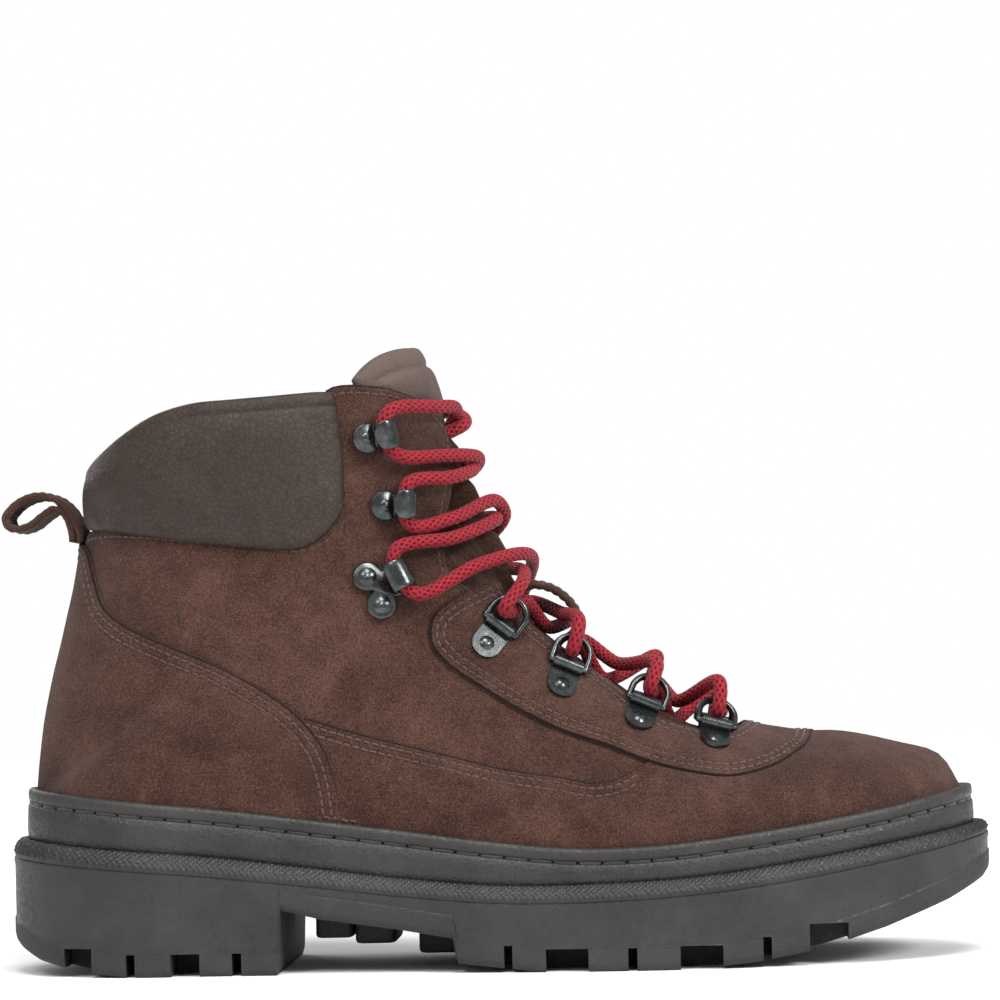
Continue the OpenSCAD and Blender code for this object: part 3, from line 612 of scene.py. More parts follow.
BOARD = fabric_material("fibre_board", (0.22, 0.16, 0.11), (0.42, 0.33, 0.24), 2.0)
LACE_RED = lace_material("lace_braid")
AGLET_FILM = metal_material("aglet_film", (0.03, 0.03, 0.032), 0.3)


# ---- Lace ----

LACE_A = [[70, -12, 78.5], [69.5, -16, 76.5], [70.5, -20.5, 79], [71, -18.5, 86.5], [57.5, 2, 81],
          [51, 17, 86.5], [49, 20.5, 84.5], [49, 25.5, 87.5], [51.5, 21.5, 95], [34.5, 0.5, 88.5],
          [26.5, -16.5, 101], [25, -19.5, 98], [25.5, -24.5, 98.5], [27.5, -24.5, 105.5],
          [21, -1, 110], [9, 16, 113.5], [6.5, 18, 111], [6, 23.5, 111], [8, 25, 116.5],
          [11.8, -2, 128.5], [-4, -26, 125], [-22.5, -34.5, 116.5], [-26, -34.5, 119],
          [-29.5, -33.5, 125.5], [-29, -33, 130], [-11, -23.5, 134], [1.5, -3, 140.5], [-5, 8, 141],
          [-12, 16.5, 140], [-24, 24, 138], [-26, 25, 141.5], [-26, 25, 147.5], [-24.5, 24.5, 151],
          [-12.5, 14.5, 154.5], [-5.5, 6.5, 157.5], [-4, -2, 160], [-8, -11, 160.5],
          [-14, -19, 160], [-28.5, -32, 160.5], [-30.5, -33, 163.5], [-32, -33.5, 169],
          [-30.5, -33, 173], [-15.5, -18.5, 175.5], [-10.5, -7, 175.5], [-11.5, -1, 172.5],
          [-14.5, 0.5, 168], [-19, 1, 163.5], [-24, 4, 159.5], [-28.5, 9.5, 153.5],
          [-36, 13.5, 146], [-42, 15.5, 132], [-44, 17.5, 100], [-43, 18, 68], [-39, 17, 51],
          [-30, 16, 49.8]]
LACE_B = [[70, 17.5, 78.5], [69.5, 21.5, 76.5], [70, 26.5, 79.5], [70.5, 22, 86], [56, 2, 75],
          [51, -15, 86.5], [49.5, -18.5, 84], [49.5, -23.5, 86.5], [51.5, -21.5, 92.5],
          [38.5, 0.5, 93.5], [26.5, 14.5, 101], [25, 17.5, 98], [24.5, 24.5, 100.5],
          [26.5, 20.5, 107.5], [17, -1, 105.5], [9.5, -19, 113.5], [6.5, -22.5, 110.5],
          [4.5, -28.5, 111.5], [9, -26.5, 117.5], [8.5, -2, 124], [-5.5, 21, 123],
          [-22.5, 28.5, 116.5], [-26, 28.5, 119], [-29.5, 27.5, 125.5], [-29, 27, 130],
          [-9, 20, 131.5], [3.6, 6, 141.5], [1.5, -3, 146], [-12, -22, 140], [-24, -30, 138],
          [-26, -31, 141.5], [-26, -31, 147.5], [-24.5, -30.5, 151], [-12, -21, 153],
          [-5.5, -2, 157], [-9, 5.5, 159.5], [-13, 14, 161], [-28.5, 26, 160.5], [-30.5, 27, 163.5],
          [-32, 27.5, 169], [-30.5, 27, 173], [-15.5, 14, 176], [-9, 5, 173.5], [-8.5, -3.5, 170.5],
          [-14, -6, 167.5], [-19, -6.5, 163.5], [-24, -10, 159.5], [-28.5, -15.5, 153.5],
          [-36, -19.5, 146], [-42, -21.5, 132], [-44, -23.5, 100], [-43, -23, 68], [-39, -20, 51],
          [-30, -19, 49.8]]
LACE_TOE = [71.5, 2.5, 77.5]
LACE_D = 5
AGLET_LENGTH = 18
LACE_SIDES = 24
LACE_STEP = 0.6


def carried_normals(line):
    """Normals along a line that don't twist about it."""
    way = headings(line)
    out = np.empty_like(line)
    n = np.array([0.0, 1.0, 0.0])
    for i, t in enumerate(way):
        n = n - t * n.dot(t)
        n /= np.linalg.norm(n)
        out[i] = n
    return out, np.cross(way, out)


def lace_path():
    points = np.array(LACE_A[::-1] + [LACE_TOE] + LACE_B, float) + [0, CENTRE_Y, 0]
    run = sums(steps(points) ** 0.7)
    dense = through(points, run, np.linspace(0, run[-1], len(points) * 20))
    return resample(dense, LACE_STEP)


def make_lace():
    line = lace_path()
    a, b = carried_normals(line)
    turn = angles(LACE_SIDES)
    run = lengths(line)
    share = np.arange(LACE_SIDES) / LACE_SIDES * STRANDS
    left = np.abs(np.sin(math.pi * (share[None] + run[:, None] * BRAID_RATE)))
    right = np.abs(np.sin(math.pi * (share[None] - run[:, None] * BRAID_RATE)))
    radius = LACE_D / 2 * (0.78 + 0.10 * np.maximum(left, right))
    ring = (np.cos(turn)[None, :, None] * a[:, None] + np.sin(turn)[None, :, None] * b[:, None])
    verts = line[:, None] + radius[..., None] * ring
    rows = len(line)
    body = quads(rows, LACE_SIDES, 0, wrap_cols=True)
    i = np.repeat(np.arange(rows - 1), LACE_SIDES)
    j = np.tile(np.arange(LACE_SIDES), rows - 1)
    corner = [(0, 0), (1, 0), (1, 1), (0, 1)]
    uv = np.stack([np.stack([(j + dj) / LACE_SIDES, run[i + di]], axis=-1)
                   for di, dj in corner], axis=1)
    data = bpy.data.meshes.new("lace_cord")
    caps = [list(range(LACE_SIDES))[::-1], list(range((rows - 1) * LACE_SIDES, rows * LACE_SIDES))]
    data.from_pydata((verts.reshape(-1, 3) * MM).tolist(), [], body.tolist() + caps)
    layer = data.uv_layers.new(name="UVMap")
    flat = np.concatenate([uv.reshape(-1, 2), np.zeros((2 * LACE_SIDES, 2))])
    layer.data.foreach_set("uv", flat.astype(np.float32).ravel())
    if sum(p.normal.dot(Vector(p.center) - Vector(line[k // LACE_SIDES] * MM))
           for k, p in enumerate(data.polygons[:LACE_SIDES])) < 0:
        data.flip_normals()
    shade_smooth(data)
    data.materials.append(LACE_RED)
    lace = show("lace_cord", data)
    belong(lace, "lace_braid", "lace")
    return lace, line


def make_aglet(name, end, way):
    """Film sleeve over the end of the lace: a slight flare, a straight barrel and a blunt tip."""
    outline = [(0, 2.5), (0.5, 2.62), (1.2, 2.3), (14, 2.25), (16.5, 2.1), (17.6, 1.6),
               (AGLET_LENGTH, 0.8)]
    side = unit(np.cross(way, [0, 0, 1.0]))
    up = np.cross(side, way)
    turn = angles(28)
    rings = [end + way * s + r * (np.cos(turn)[:, None] * side + np.sin(turn)[:, None] * up)
             for s, r in outline]
    piece = ring_mesh(name, rings, AGLET_FILM)
    belong(piece, "aglet_film", "aglets")
    return piece


lace, LACE_LINE = make_lace()
aglets = [make_aglet("aglet_a", LACE_LINE[0], unit(LACE_LINE[0] - LACE_LINE[4])),
          make_aglet("aglet_b", LACE_LINE[-1], unit(LACE_LINE[-1] - LACE_LINE[-5]))]


# ---- Upper panels ----

def rib_ends(rib):
    """[u0, w0, u1, w1] of a rib. Four numbers are two side-view points. Three are a place on the
    feather line and a side-view point. Two pairs are the ends themselves."""
    if len(rib) == 4:
        return [*at(*rib[:2]), *at(*rib[2:])]
    if len(rib) == 3:
        return [rib[0], 0, *at(*rib[1:])]
    return [*rib[0], *rib[1]]


def rib_rows(ribs, step=1.8):
    """Evenly spaced rows of [u0, w0, u1, w1] through the ribs, with free edges smooth in side view."""
    ends = np.array([rib_ends(rib) for rib in ribs], float)
    low = bare(ends[:, 0], ends[:, 1], LATERAL)
    high = bare(ends[:, 2], ends[:, 3], LATERAL)
    knots = sums(np.maximum((steps(low) + steps(high)) / 2, 1))
    spots = np.linspace(0, knots[-1], int(knots[-1] / step) + 1)
    rows = through(ends, knots, spots)
    before = np.clip(np.searchsorted(knots, spots, side="right") - 1, 0, len(knots) - 2)
    for column, edge in ((0, low), (2, high)):
        shown = through(edge[:, [0, 2]], knots, spots)
        w = ends[:, column + 1]
        low_end = np.minimum(w[before], w[before + 1])
        high_end = np.maximum(w[before], w[before + 1])
        for k in np.flatnonzero((low_end > 0.02) & (high_end < 0.85)):
            rows[k, column:column + 2] = at(*shown[k])
    return rows


# Distances from an edge at which a panel has its columns.
FINE = np.array([0, 0.12, 0.35, 0.7, 1.1, 1.6, 2.0, 2.3, 2.6, 2.9, 3.3, 3.8, 4.2, 4.5, 4.8, 5.1,
                 5.5, 6.2])
COARSE = np.array([0, 0.5, 1.5, 3])
SAMPLES = 40
# Columns next to a finished edge that take the painted edge shadow.
SHADED_EDGE_COLUMNS = 3


def row_points(rows, middle, near_first, near_last):
    """(u, w) grid: columns at fixed distances from the two ends of each row, even between."""
    t = np.linspace(0, 1, SAMPLES)
    u = rows[:, 0, None] + (rows[:, 2] - rows[:, 0])[:, None] * t
    w = rows[:, 1, None] + (rows[:, 3] - rows[:, 1])[:, None] * t
    place = bare(u, np.clip(w, 0, 1), LATERAL)
    run = np.array([lengths(row) for row in place])
    grid = []
    for k in range(len(rows)):
        total = run[k, -1]
        fit = min(1.0, 0.46 * total / max(near_first[-1], near_last[-1]))
        first = near_first * fit
        last = total - near_last[::-1] * fit
        gap = np.linspace(first[-1], last[0], middle + 2)[1:-1]
        grid.append(np.interp(np.concatenate([first, gap, last]), run[k], t))
    s = np.array(grid)
    u = rows[:, 0, None] + (rows[:, 2] - rows[:, 0])[:, None] * s
    w = rows[:, 1, None] + (rows[:, 3] - rows[:, 1])[:, None] * s
    return u, np.clip(w, 0, 1)


def both_sides(u, w, wrap=False):
    """The outer side's grid joined at its last row to its mirror on the inner side, and the side of
    every point. With wrap, the first row isn't repeated either."""
    back = slice(-2, 0 if wrap else None, -1)
    side = np.array([LATERAL] * len(u) + [MEDIAL] * len(u[back]), float)
    side = np.repeat(side[:, None], u.shape[1], axis=1)
    return np.concatenate([u, u[back]]), np.concatenate([w, w[back]]), side


def rim_drop(d, r):
    """How far a rounded rim of radius r falls below the face at a distance d from the edge."""
    c = np.clip(d, 0, r)
    return r - np.sqrt(np.maximum(r * r - (r - c) ** 2, 0))


def undulation(p, size):
    """Soft unevenness of a hand-lasted skin."""
    x, y, z = p[..., 0], p[..., 1], p[..., 2]
    return size * (np.sin(x / 9 + 1.3 * np.sin(z / 13)) * np.sin(z / 8 + y / 11)
                   + 0.6 * np.sin(x / 4.5 + z / 6) * np.sin(y / 5 - z / 7))


class Panel:
    """One cut piece of the upper: a curved sheet with rounded edges, stitch grooves and a crown."""

    def __init__(self, name, ribs, off, thick, sides, edges, grooves, middle=14, crown=0.3,
                 fine=(False, True)):
        rows = rib_rows(ribs)
        near = [FINE if flag else COARSE for flag in fine]
        u, w = row_points(rows, middle, *near)
        if sides == BOTH:
            u, w, side = both_sides(u, w)
        else:
            side = np.full(u.shape, float(sides[0]))
        self.u, self.w, self.side, self.off = u, w, side, off
        face = bare(u, w, side)
        d = from_line(face, np.concatenate([face[:, column] for column in edges]))
        rise = off - rim_drop(d, 0.75) + crown * smooth((d - 5) / 8) + undulation(face, 0.12)
        for g in grooves:
            rise = rise - 0.28 * np.exp(-((d - g) / 0.45) ** 2)
        outer = skin(u, w, side, rise)
        inner = skin(u, w, side, np.full(u.shape, off - thick))
        self.obj = shell(name, outer, inner, SUEDE)
        # Painted shadow: the outer faces in the last few columns at a finished edge take the dark suede,
        # over the cut edge's own darker tone.
        self.obj.data.materials.append(SUEDE_EDGE_SHADE)
        last = u.shape[1] - 1
        column = np.tile(np.arange(last), u.shape[0] - 1)
        index = np.zeros(len(self.obj.data.polygons), dtype=np.int32)
        index[:len(column)] = ((column < SHADED_EDGE_COLUMNS) & fine[0]
                               | (column >= last - SHADED_EDGE_COLUMNS) & fine[1])
        self.obj.data.polygons.foreach_set("material_index", index)
        belong(self.obj, "suede", name.removesuffix("_suede"))

    def seam(self, column, inward):
        """Line on the surface a set distance inside the edge at a column of the grid (0 or -1)."""
        u, w, side = self.u[:, column], self.w[:, column], self.side[:, column]
        edge = bare(u, w, side)
        beside = column + 4 if column == 0 else column - 4
        far = bare(self.u[:, beside], self.w[:, beside], side)
        n = outward(u, w, side)
        way = headings(edge)
        into = unit(np.cross(n, way))
        into *= np.sign((into * (far - edge)).sum(-1))[:, None]
        moved = edge + into * inward
        u2, w2 = settle(moved, u, w, side)
        line = skin(u2, w2, side, np.full(len(u2), self.off - 0.05))
        keep = (np.linalg.norm(line - moved, axis=1) < 3) & (line[:, 2] > seam_z(line[:, 0]) + 4)
        return line[keep], outward(u2, w2, side)[keep]


QUARTER_RIBS = [
    ((17.3, 0), (18.35, 0)), (-127, 124, -129.5, 139), (-122, 108, -121, 139.6),
    (-107, 97, -108.5, 138.8), (-88, 88, -92, 136.8), (-72, 76, -73, 134.8), (-61, 68, -59, 133.4),
    (-49, 62, -50.9, 136.6), (-41, 60, -46.8, 143.5), (-35, 58, -46.4, 151), (-30, 58, -47.4, 161),
    (-26, 58, -49.4, 179.8), (-21, 58, -32.2, 182), (-16, 57, -25, 180.4), (-10, 56, -15.6, 175),
    (-4, 55, -11.8, 168.6), (2, 54, -10.3, 159), (7, 53, -11.3, 147.6), (12, 52, -13.3, 136),
    (17, 51, -12, 124), (24, 51, 4, 110), (33, 50, 24, 94), (46, 52, 42, 80), (58, 54, 52, 76)
]
VAMP_RIBS = [
    (10.4, -58, 79), (9.7, -39, 73.1), (9.1, -14.4, 66.7), (8.4, 2.3, 62.3), (7.7, 20.8, 59.2),
    (7.2, 32, 57.2), (6.9, 38.3, 58.2), (6.5, 44.6, 61.4), (6.1, 52, 65), (5.6, 61, 63.5),
    (5.1, 70, 62.3), (4.5, 78, 62.6), (3.8, 85, 64.5), (3.0, 90, 67.3), (2.1, 94, 70),
    ((1.1, 0), (3.95, 0.87)), ((0.4, 0), (3.97, 0.93)), ((0.07, 0), (3.985, 0.965)),
    ((0.05, 0), (3.99, 0.97)), ((0, 1), (4.0, 1))
]
COUNTER_RIBS = [
    (9.62, -47.3, 46), (9.75, -48.2, 55), (9.9, -49.6, 62), (10.15, -51.6, 68), (10.45, -54.5, 73),
    (10.8, -58.5, 78), (11.2, -64, 83), (11.7, -73, 89), (12.3, -86, 96), (12.9, -99, 101.6),
    (13.5, -111, 107), (14, -118, 111.2), (14.4, -122.5, 116), (14.7, -125.3, 123.5),
    (14.87, -128.2, 132.5), ((HEEL_U, 0), (18.5, 0))
]
EYESTAY_RIBS = [
    (-1, 119.9, 2.5, 120.2), (-11.5, 114.7, 5.6, 114.3), (-17.1, 110.3, 9.3, 109.8),
    (-19, 105.5, 13.6, 105.2), (-18.5, 100.5, 17.5, 101.8), (-14.5, 95.2, 21.5, 98.5),
    (-4, 87.5, 27, 94.7), (9.5, 79, 33.8, 90), (21, 73.2, 40.5, 85), (34.5, 68.4, 47.5, 79.6),
    (48.6, 62.6, 54, 75.4), (60, 59.6, 60, 73.4), (74, 57.8, 66.5, 71.6), (87, 60.8, 72, 71.4),
    (96, 65.7, 75.8, 72.6), ((3.5, 1), (4.8, 1))
]
QUARTER_STITCH = [2.6]
VAMP_STITCH = [2.1, 4.5]
COUNTER_STITCH = [2.6, 5.2]
EYESTAY_STITCH = [2.3, 4.5]


def make_panels():
    quarters = [Panel("quarter_" + word, QUARTER_RIBS, -1.4, 1.2, (side,), (-1,), QUARTER_STITCH,
                      middle=20, crown=0.5)
                for side, word in ((LATERAL, "lateral_suede"), (MEDIAL, "medial_suede"))]
    vamp = Panel("vamp_suede", VAMP_RIBS, 0.0, 1.3, BOTH, (-1,), VAMP_STITCH, middle=12)
    counter = Panel("heel_counter_suede", COUNTER_RIBS, 0.55, 1.3, BOTH, (-1,), COUNTER_STITCH,
                    middle=16)
    eyestay = Panel("eyestay_suede", EYESTAY_RIBS, 0.6, 1.3, BOTH, (0, -1), EYESTAY_STITCH,
                    middle=6, crown=0.15, fine=(True, True))
    lines = [q.seam(-1, d) for q in quarters for d in QUARTER_STITCH]
    lines += [counter.seam(-1, d) for d in COUNTER_STITCH]
    lines += [eyestay.seam(column, d) for column in (0, -1) for d in EYESTAY_STITCH]
    for d in VAMP_STITCH:
        line, normal = vamp.seam(-1, d)
        for side in BOTH:
            shown = (line[:, 0] < 45) & (side * (line[:, 1] - bend(line[:, 0])) > 0)
            lines.append((line[shown], normal[shown]))
    return lines


# ---- Stitches ----

# Pitch, length and radius of the threads.
UPPER_THREAD = (2.75, 2.15, 0.33)
LOOP_THREAD = (2.75, 2.2, 0.3)
WELT_STITCH = (7.6, 6.8, 0.42)
THREAD_SIDES = 7


def capsule_template(length, radius):
    """Points and faces of a short rounded thread lying along X."""
    half = length / 2 - radius
    outline = [(-half - radius, 0.02), (-half - 0.8 * radius, 0.6 * radius), (-half, radius),
               (0, 1.12 * radius),
               (half, radius), (half + 0.8 * radius, 0.6 * radius), (half + radius, 0.02)]
    turn = angles(THREAD_SIDES)
    verts = np.array([[x, r * math.cos(a), r * math.sin(a)] for x, r in outline for a in turn])
    return verts, tube_faces(len(outline), THREAD_SIDES)


def stitches(name, lines, pitch, length, radius, material):
    """Threads along seam lines, one every pitch, each pulled a little into the surface."""
    shape, shape_faces = capsule_template(length, radius)
    verts, faces = [], []
    count = 0
    for line, normal in lines:
        if len(line) < 3:
            continue
        both = np.concatenate([line, normal], axis=1)
        run = lengths(line)
        jump = np.append(np.diff(run) > 12, False)
        spots = np.arange(pitch / 2, run[-1], pitch)
        where = np.stack([np.interp(spots, run, both[:, k]) for k in range(6)], axis=1)
        ahead = np.stack([np.interp(spots + 0.4, run, line[:, k]) for k in range(3)], axis=1)
        way = unit(ahead - where[:, :3])
        up = unit(where[:, 3:])
        side = np.cross(up, way)
        bad = jump[np.clip(np.searchsorted(run, spots) - 1, 0, len(run) - 1)]
        for p, t, s, n, skip in zip(where[:, :3], way, side, up, bad):
            if skip:
                continue
            arch = shape[:, 2] - 0.45 * radius * (2 * shape[:, 0] / length) ** 2
            verts.append(p + shape[:, :1] * t + shape[:, 1:2] * s + arch[:, None] * n)
            faces += [[k + count for k in f] for f in shape_faces]
            count += len(shape)
    obj = add_mesh(name, np.concatenate(verts), faces, material)
    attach(obj, "boot")
    return obj


# ---- Collar, lining, tongue and straps ----

COLLAR_RIBS = [
    (-44.5, 146, -46.5, 180), (-47.5, 139, -52, 180), (-54, 133, -58, 179.6), (-62, 131, -66, 179),
    (-75, 132, -78, 178.3), (-92, 134, -93, 177.3), (-107, 136.3, -106, 173.8),
    (-119, 138.5, -117, 167.7), (-128, 139.5, -126, 161.3), ((18.75, 0), (19.5, 0))
]
COLLAR_MIDDLE = -1.5
WIDE = np.array([0, 0.3, 0.8, 1.5, 2.4, 3.2, 3.8, 4.4, 5.0, 6.2, 7.6, 9.2])


def make_collar():
    """Padded collar: a closed crowned form that thins to its seams, with a piped top band."""
    rows = rib_rows(COLLAR_RIBS, 1.5)
    u, w = row_points(rows, 12, WIDE, WIDE)
    u, w, side = both_sides(u, w)
    face = bare(u, w, side)
    top = from_line(face, face[:, -1])
    low = from_line(face, face[:, 0])
    front = from_line(face, np.concatenate([face[0], face[-1]]))
    d = np.minimum(np.minimum(top, low), front)
    half = 0.5 + 2.6 * np.sqrt(1 - (1 - np.clip(d, 0, 6) / 6) ** 2)
    crown = 1.7 * smooth((np.minimum(low, front) - 3.5) / 12) * smooth((top - 3) / 9)
    band = -0.7 * np.exp(-((top - 4.4) / 0.7) ** 2) * smooth((face[..., 0] + 112) / 20)
    x, y, z = np.moveaxis(face, -1, 0)
    tucks = 0.35 * np.sin(x / 3.1 + 2 * np.sin(z / 6)) * np.exp(-(low - 5) ** 2 / 30)
    beside = np.abs(y - bend(x)) - LOOP_WIDTH / 2
    room = -2.4 * smooth((6 - beside) / 6) * smooth((159 - z) / 9) * (x < -100)
    puff = np.maximum(half + crown + band + tucks + undulation(face, 0.2) + room, 0.4)
    outer = skin(u, w, side, COLLAR_MIDDLE + puff)
    inner = skin(u, w, side, COLLAR_MIDDLE - half - 0.25)
    collar = shell("collar_padding", outer, inner, LEATHER)
    belong(collar, "soft_leather", "collar_pad")


THROAT = [[74, 72], [63, 74], [54, 76], [42, 85], [33, 91], [20, 100], [9, 110], [-1, 117],
          [-15, 127], [-17, 142], [-17, 157], [-21, 172], [-35, 179], [-60, 176], [-90, 174],
          [-112, 166]]
LINING_FEET = [1, 2.4, 3.6, 4.8, 5.8, 6.8, 7.8, 8.6, 9.4, 10.3, 11, 11.8, 12.6, 13.3, 14, 14.5]
LINING_RIBS = ([((0, 1), (4.9, 1))] + [(f, *p) for f, p in zip(LINING_FEET, THROAT)]
               + [((HEEL_U, 0), (19.6, 0))])
LINING_OUT = -4.7
LINING_T = 1.6


def make_lining():
    rows = rib_rows(LINING_RIBS, 2.2)
    u, w = row_points(rows, 34, COARSE, WIDE)
    u, w, side = both_sides(u, w, wrap=True)
    face = bare(u, w, side)
    edge = from_line(face, face[:, -1])
    outer = skin(u, w, side, LINING_OUT - 0.5 * rim_drop(edge, 1.2))
    inner = skin(u, w, side, (LINING_OUT - LINING_T + 0.5 * rim_drop(edge, 1.2)
                              + undulation(face, 0.15)))
    lining = shell("lining_cloth", outer, inner, LINING, wrap_rows=True)
    belong(lining, "lining_textile", "lining")


def make_gussets():
    """Folded suede webs that close the gap between the tongue and the quarters."""
    deep = LINING_OUT - LINING_T - 0.6
    for side, word in ((LATERAL, "lateral"), (MEDIAL, "medial")):
        u, w = np.meshgrid(np.linspace(5.6, 13, 70), np.linspace(0.56, 0.86, 26), indexing="ij")
        pleat = 0.7 * np.sin(w * 60 + u)
        sides = np.full(u.shape, float(side))
        outer = skin(u, w, sides, deep + pleat)
        inner = skin(u, w, sides, deep - 1.4 + pleat)
        gusset = shell("gusset_web_" + word, outer, inner, SUEDE)
        belong(gusset, "suede", "gusset_" + word)


TONGUE_MID = [[5, -11.6], [8, -11.6], [9, -9], [10, -4.6], [11, -2.6], [17.6, -2.2], [18.5, -1.2],
              [20, -0.4]]
TONGUE_WING = [[5, -12], [8, -12], [9, -10.5], [11, -8.9], [12, -8.9], [14, -13.6], [17.3, -13.6],
               [18.4, -5], [19, -2.6], [20, -1.2]]
TONGUE_T = 5
TONGUE_TOP_U = 19.78
TONGUE_FLAP_Z = 171
WING_W = 0.95


def make_tongue():
    """Padded tongue in one piece, dented where the lace presses on it, bending at the ankle."""
    u_line = np.concatenate([np.linspace(5.2, 17.8, 190), np.linspace(17.85, TONGUE_TOP_U, 36)])
    t = np.concatenate([np.linspace(-1, -0.94, 8), np.linspace(-0.92, 0.92, 70),
                        np.linspace(0.94, 1, 8)])
    u_grid, across = np.meshgrid(u_line, t, indexing="ij")
    w_edge = np.interp(u_grid, [5, 12, 16, 18.5, 20], [0.72, 0.73, 0.74, 0.735, 0.72])
    w = 1 - (1 - w_edge) * np.abs(across) ** 1.15
    side = np.where(across < 0, -1.0, 1.0)
    lean = np.clip((u_grid - 18) / (TONGUE_TOP_U - 18), 0, 1)
    u = u_grid - lean * 300 * (1 - w) ** 5
    mid = np.interp(u_grid, *np.array(TONGUE_MID).T)
    wing = np.interp(u_grid, *np.array(TONGUE_WING).T)
    base = wing + (mid - wing) * smooth((w - WING_W) / (1 - WING_W))
    face = skin(u, w, side, base)
    gap = from_line(face, LACE_LINE[::3])
    top = np.clip((TONGUE_TOP_U - u_grid) * 9, 0, 30)
    rim = np.minimum((1 - np.abs(across)) * 34, top)
    half = 0.25 + (TONGUE_T / 2 - 0.25) * np.sqrt(1 - (1 - np.clip(rim, 0, 4) / 4) ** 2)
    seam = -0.8 * np.exp(-((rim - 5.2) / 0.8) ** 2)
    puff = 1.4 * smooth((gap - 2.8) / 4) * smooth((rim - 3) / 6) * smooth((u_grid - 9) / 2)
    centre = base - TONGUE_T / 2
    outer = skin(u, w, side, centre + half + puff + seam + undulation(face, 0.15))
    inner = skin(u, w, side, centre - half)
    tongue = shell("tongue_padding", outer, inner, SUEDE)
    tongue.data.materials.append(TONGUE_LEATHER)
    flap = [int(face.center.z > TONGUE_FLAP_Z * MM) for face in tongue.data.polygons]
    tongue.data.polygons.foreach_set("material_index", flap)
    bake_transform(tongue)
    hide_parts("tongue_lower", "tongue_upper")


def strap(name, path, width, thick, middle_x, body, waist=0.0):
    """Flat strap with rounded edges whose middle line runs through the side-view points."""
    centre = float(bend(middle_x))
    line = smooth_line([[x, centre, z] for x, z in path], 0.6)
    way = headings(line)
    up = unit(np.cross(way, [0, 1.0, 0]))
    corner = np.linspace(-math.pi / 2, math.pi / 2, 7)
    half = width / 2 - thick / 2
    section = [(half + thick / 2 * math.cos(a), thick / 2 * math.sin(a)) for a in corner]
    section += [(y, thick / 2 * (1 + 0.06 * math.cos(math.pi * y / half)))
                for y in np.linspace(half, -half, 17)[1:-1]]
    section += [(-y, -z) for y, z in section[:7]]
    section += [(y, -thick / 2) for y in np.linspace(-half, half, 17)[1:-1]]
    section = np.array(section)
    share = np.linspace(0, 1, len(line))
    narrow = 1 - waist * np.sin(math.pi * share) ** 2
    rings = (line[:, None] + narrow[:, None, None] * section[None, :, :1] * np.array([0, 1.0, 0])
             + section[None, :, 1:] * up[:, None])
    piece = ring_mesh(name, rings, SUEDE)
    belong(piece, "suede", name.removesuffix("_strap"), body=body)
    edges = []
    for s in (-1, 1):
        for face in (-1, 1):
            edge = line + up * face * (thick / 2 - 0.05)
            edge[:, 1] += s * (half - 1.3) * narrow
            edges.append((edge[3:-3], up[3:-3] * face))
    return edges


LOOP_PATH = [[-131.2, 136], [-131.4, 138.5], [-133.2, 143], [-136.3, 147.6], [-140.3, 150.4],
             [-145, 151.1], [-149.8, 149.8], [-153.4, 147.2], [-155.4, 144.2], [-154.4, 141.5],
             [-151.2, 140.7], [-147.3, 141.8], [-143.2, 144.8], [-139.6, 146.7], [-136.4, 145.2],
             [-134.5, 141.3], [-133.9, 138.4], [-133.7, 136.2]]
LOOP_WIDTH = 20
LOOP_T = 2.1
LOOP_X = -140.0
KEEPER_PATH = [[8.2, 117.2], [9.5, 118.2], [12.2, 119], [16.8, 118.4], [21.5, 115.9], [25.1, 112],
               [27, 107.5], [25.5, 103.9], [23.4, 102.2]]
KEEPER_WIDTH = 14
KEEPER_T = 2.4
KEEPER_X = 16.0


def make_straps():
    loop_edges = strap("pull_loop_strap", LOOP_PATH, LOOP_WIDTH, LOOP_T, LOOP_X, "pull_loop", 0.06)
    keeper_edges = strap("lace_keeper_strap", KEEPER_PATH, KEEPER_WIDTH, KEEPER_T, KEEPER_X, "boot")
    threads = stitches("pull_loop_stitches", loop_edges, *LOOP_THREAD, THREAD)
    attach(threads, "pull_loop")
    return keeper_edges


# ---- Sole ----

SOLE_STEP = 0.8
CREASE = [[-160, 43], [-123, 39.2], [-91, 36.4], [-60, 32.6], [-29, 28.6], [2, 25.9], [33, 26],
          [63, 27.5], [94, 31.4], [125, 36.4], [160, 42]]
LEDGE = [[-160, 37.2], [-123, 33.5], [-91, 30.7], [-60, 27.4], [-29, 23.6], [2, 21.1], [33, 21.1],
         [63, 22.8], [94, 26.5], [125, 31.8], [160, 38.8]]
BOTTOM = [[-160, 14], [-153, 9.5], [-143, 5], [-128, 1.5], [-112, 0], [-67, 0]]
ARCH = [[-66.4, 20], [-54, 17], [-30, 13.5], [-12.6, 10.5]]
FOREPART = [[-12, 3], [4, 1.2], [15, 0], [60, 0], [80, 1.8], [100, 5.2], [120, 11], [140, 18.2],
            [160, 27.5]]
WIDE_GAPS = [[-130, 9], [-96, 9], [22, 13], [63, 13], [102, 12]]
FINE_GAPS = [[-113, 2.8], [-80, 3], [4, 2.6], [42, 2.8], [83, 2.6]]
CROSS_GAPS = [[-140, 5], [-121, 4], [-104, 4], [-86, 4], [12, 4], [32, 4], [52, 4], [73, 4],
              [93, 4], [114, 4]]
ARCH_PADS = [[-52, 12], [-39, 13], [-18, 15]]
SOLE_MARGIN = 8.5
LEDGE_STEP = 5
LUG_DEPTH = 7
LUG_REACH = 17
CROSS_DEPTH = 6
SEAM_DROP = 0.4
BOARD_T = 2.4


def seam_z(x):
    rows = STATIONS[HEEL_U::-1]
    table = np.concatenate([[[-160, rows[0, 2]]], rows[:, [0, 2]], [[160, rows[-1, 2] + 1.5]]])
    return curve_z(table, x) - SEAM_DROP


def bottom_z(x):
    table = np.array(BOTTOM + ARCH + FOREPART)
    return np.interp(x, table[:, 0], table[:, 1])


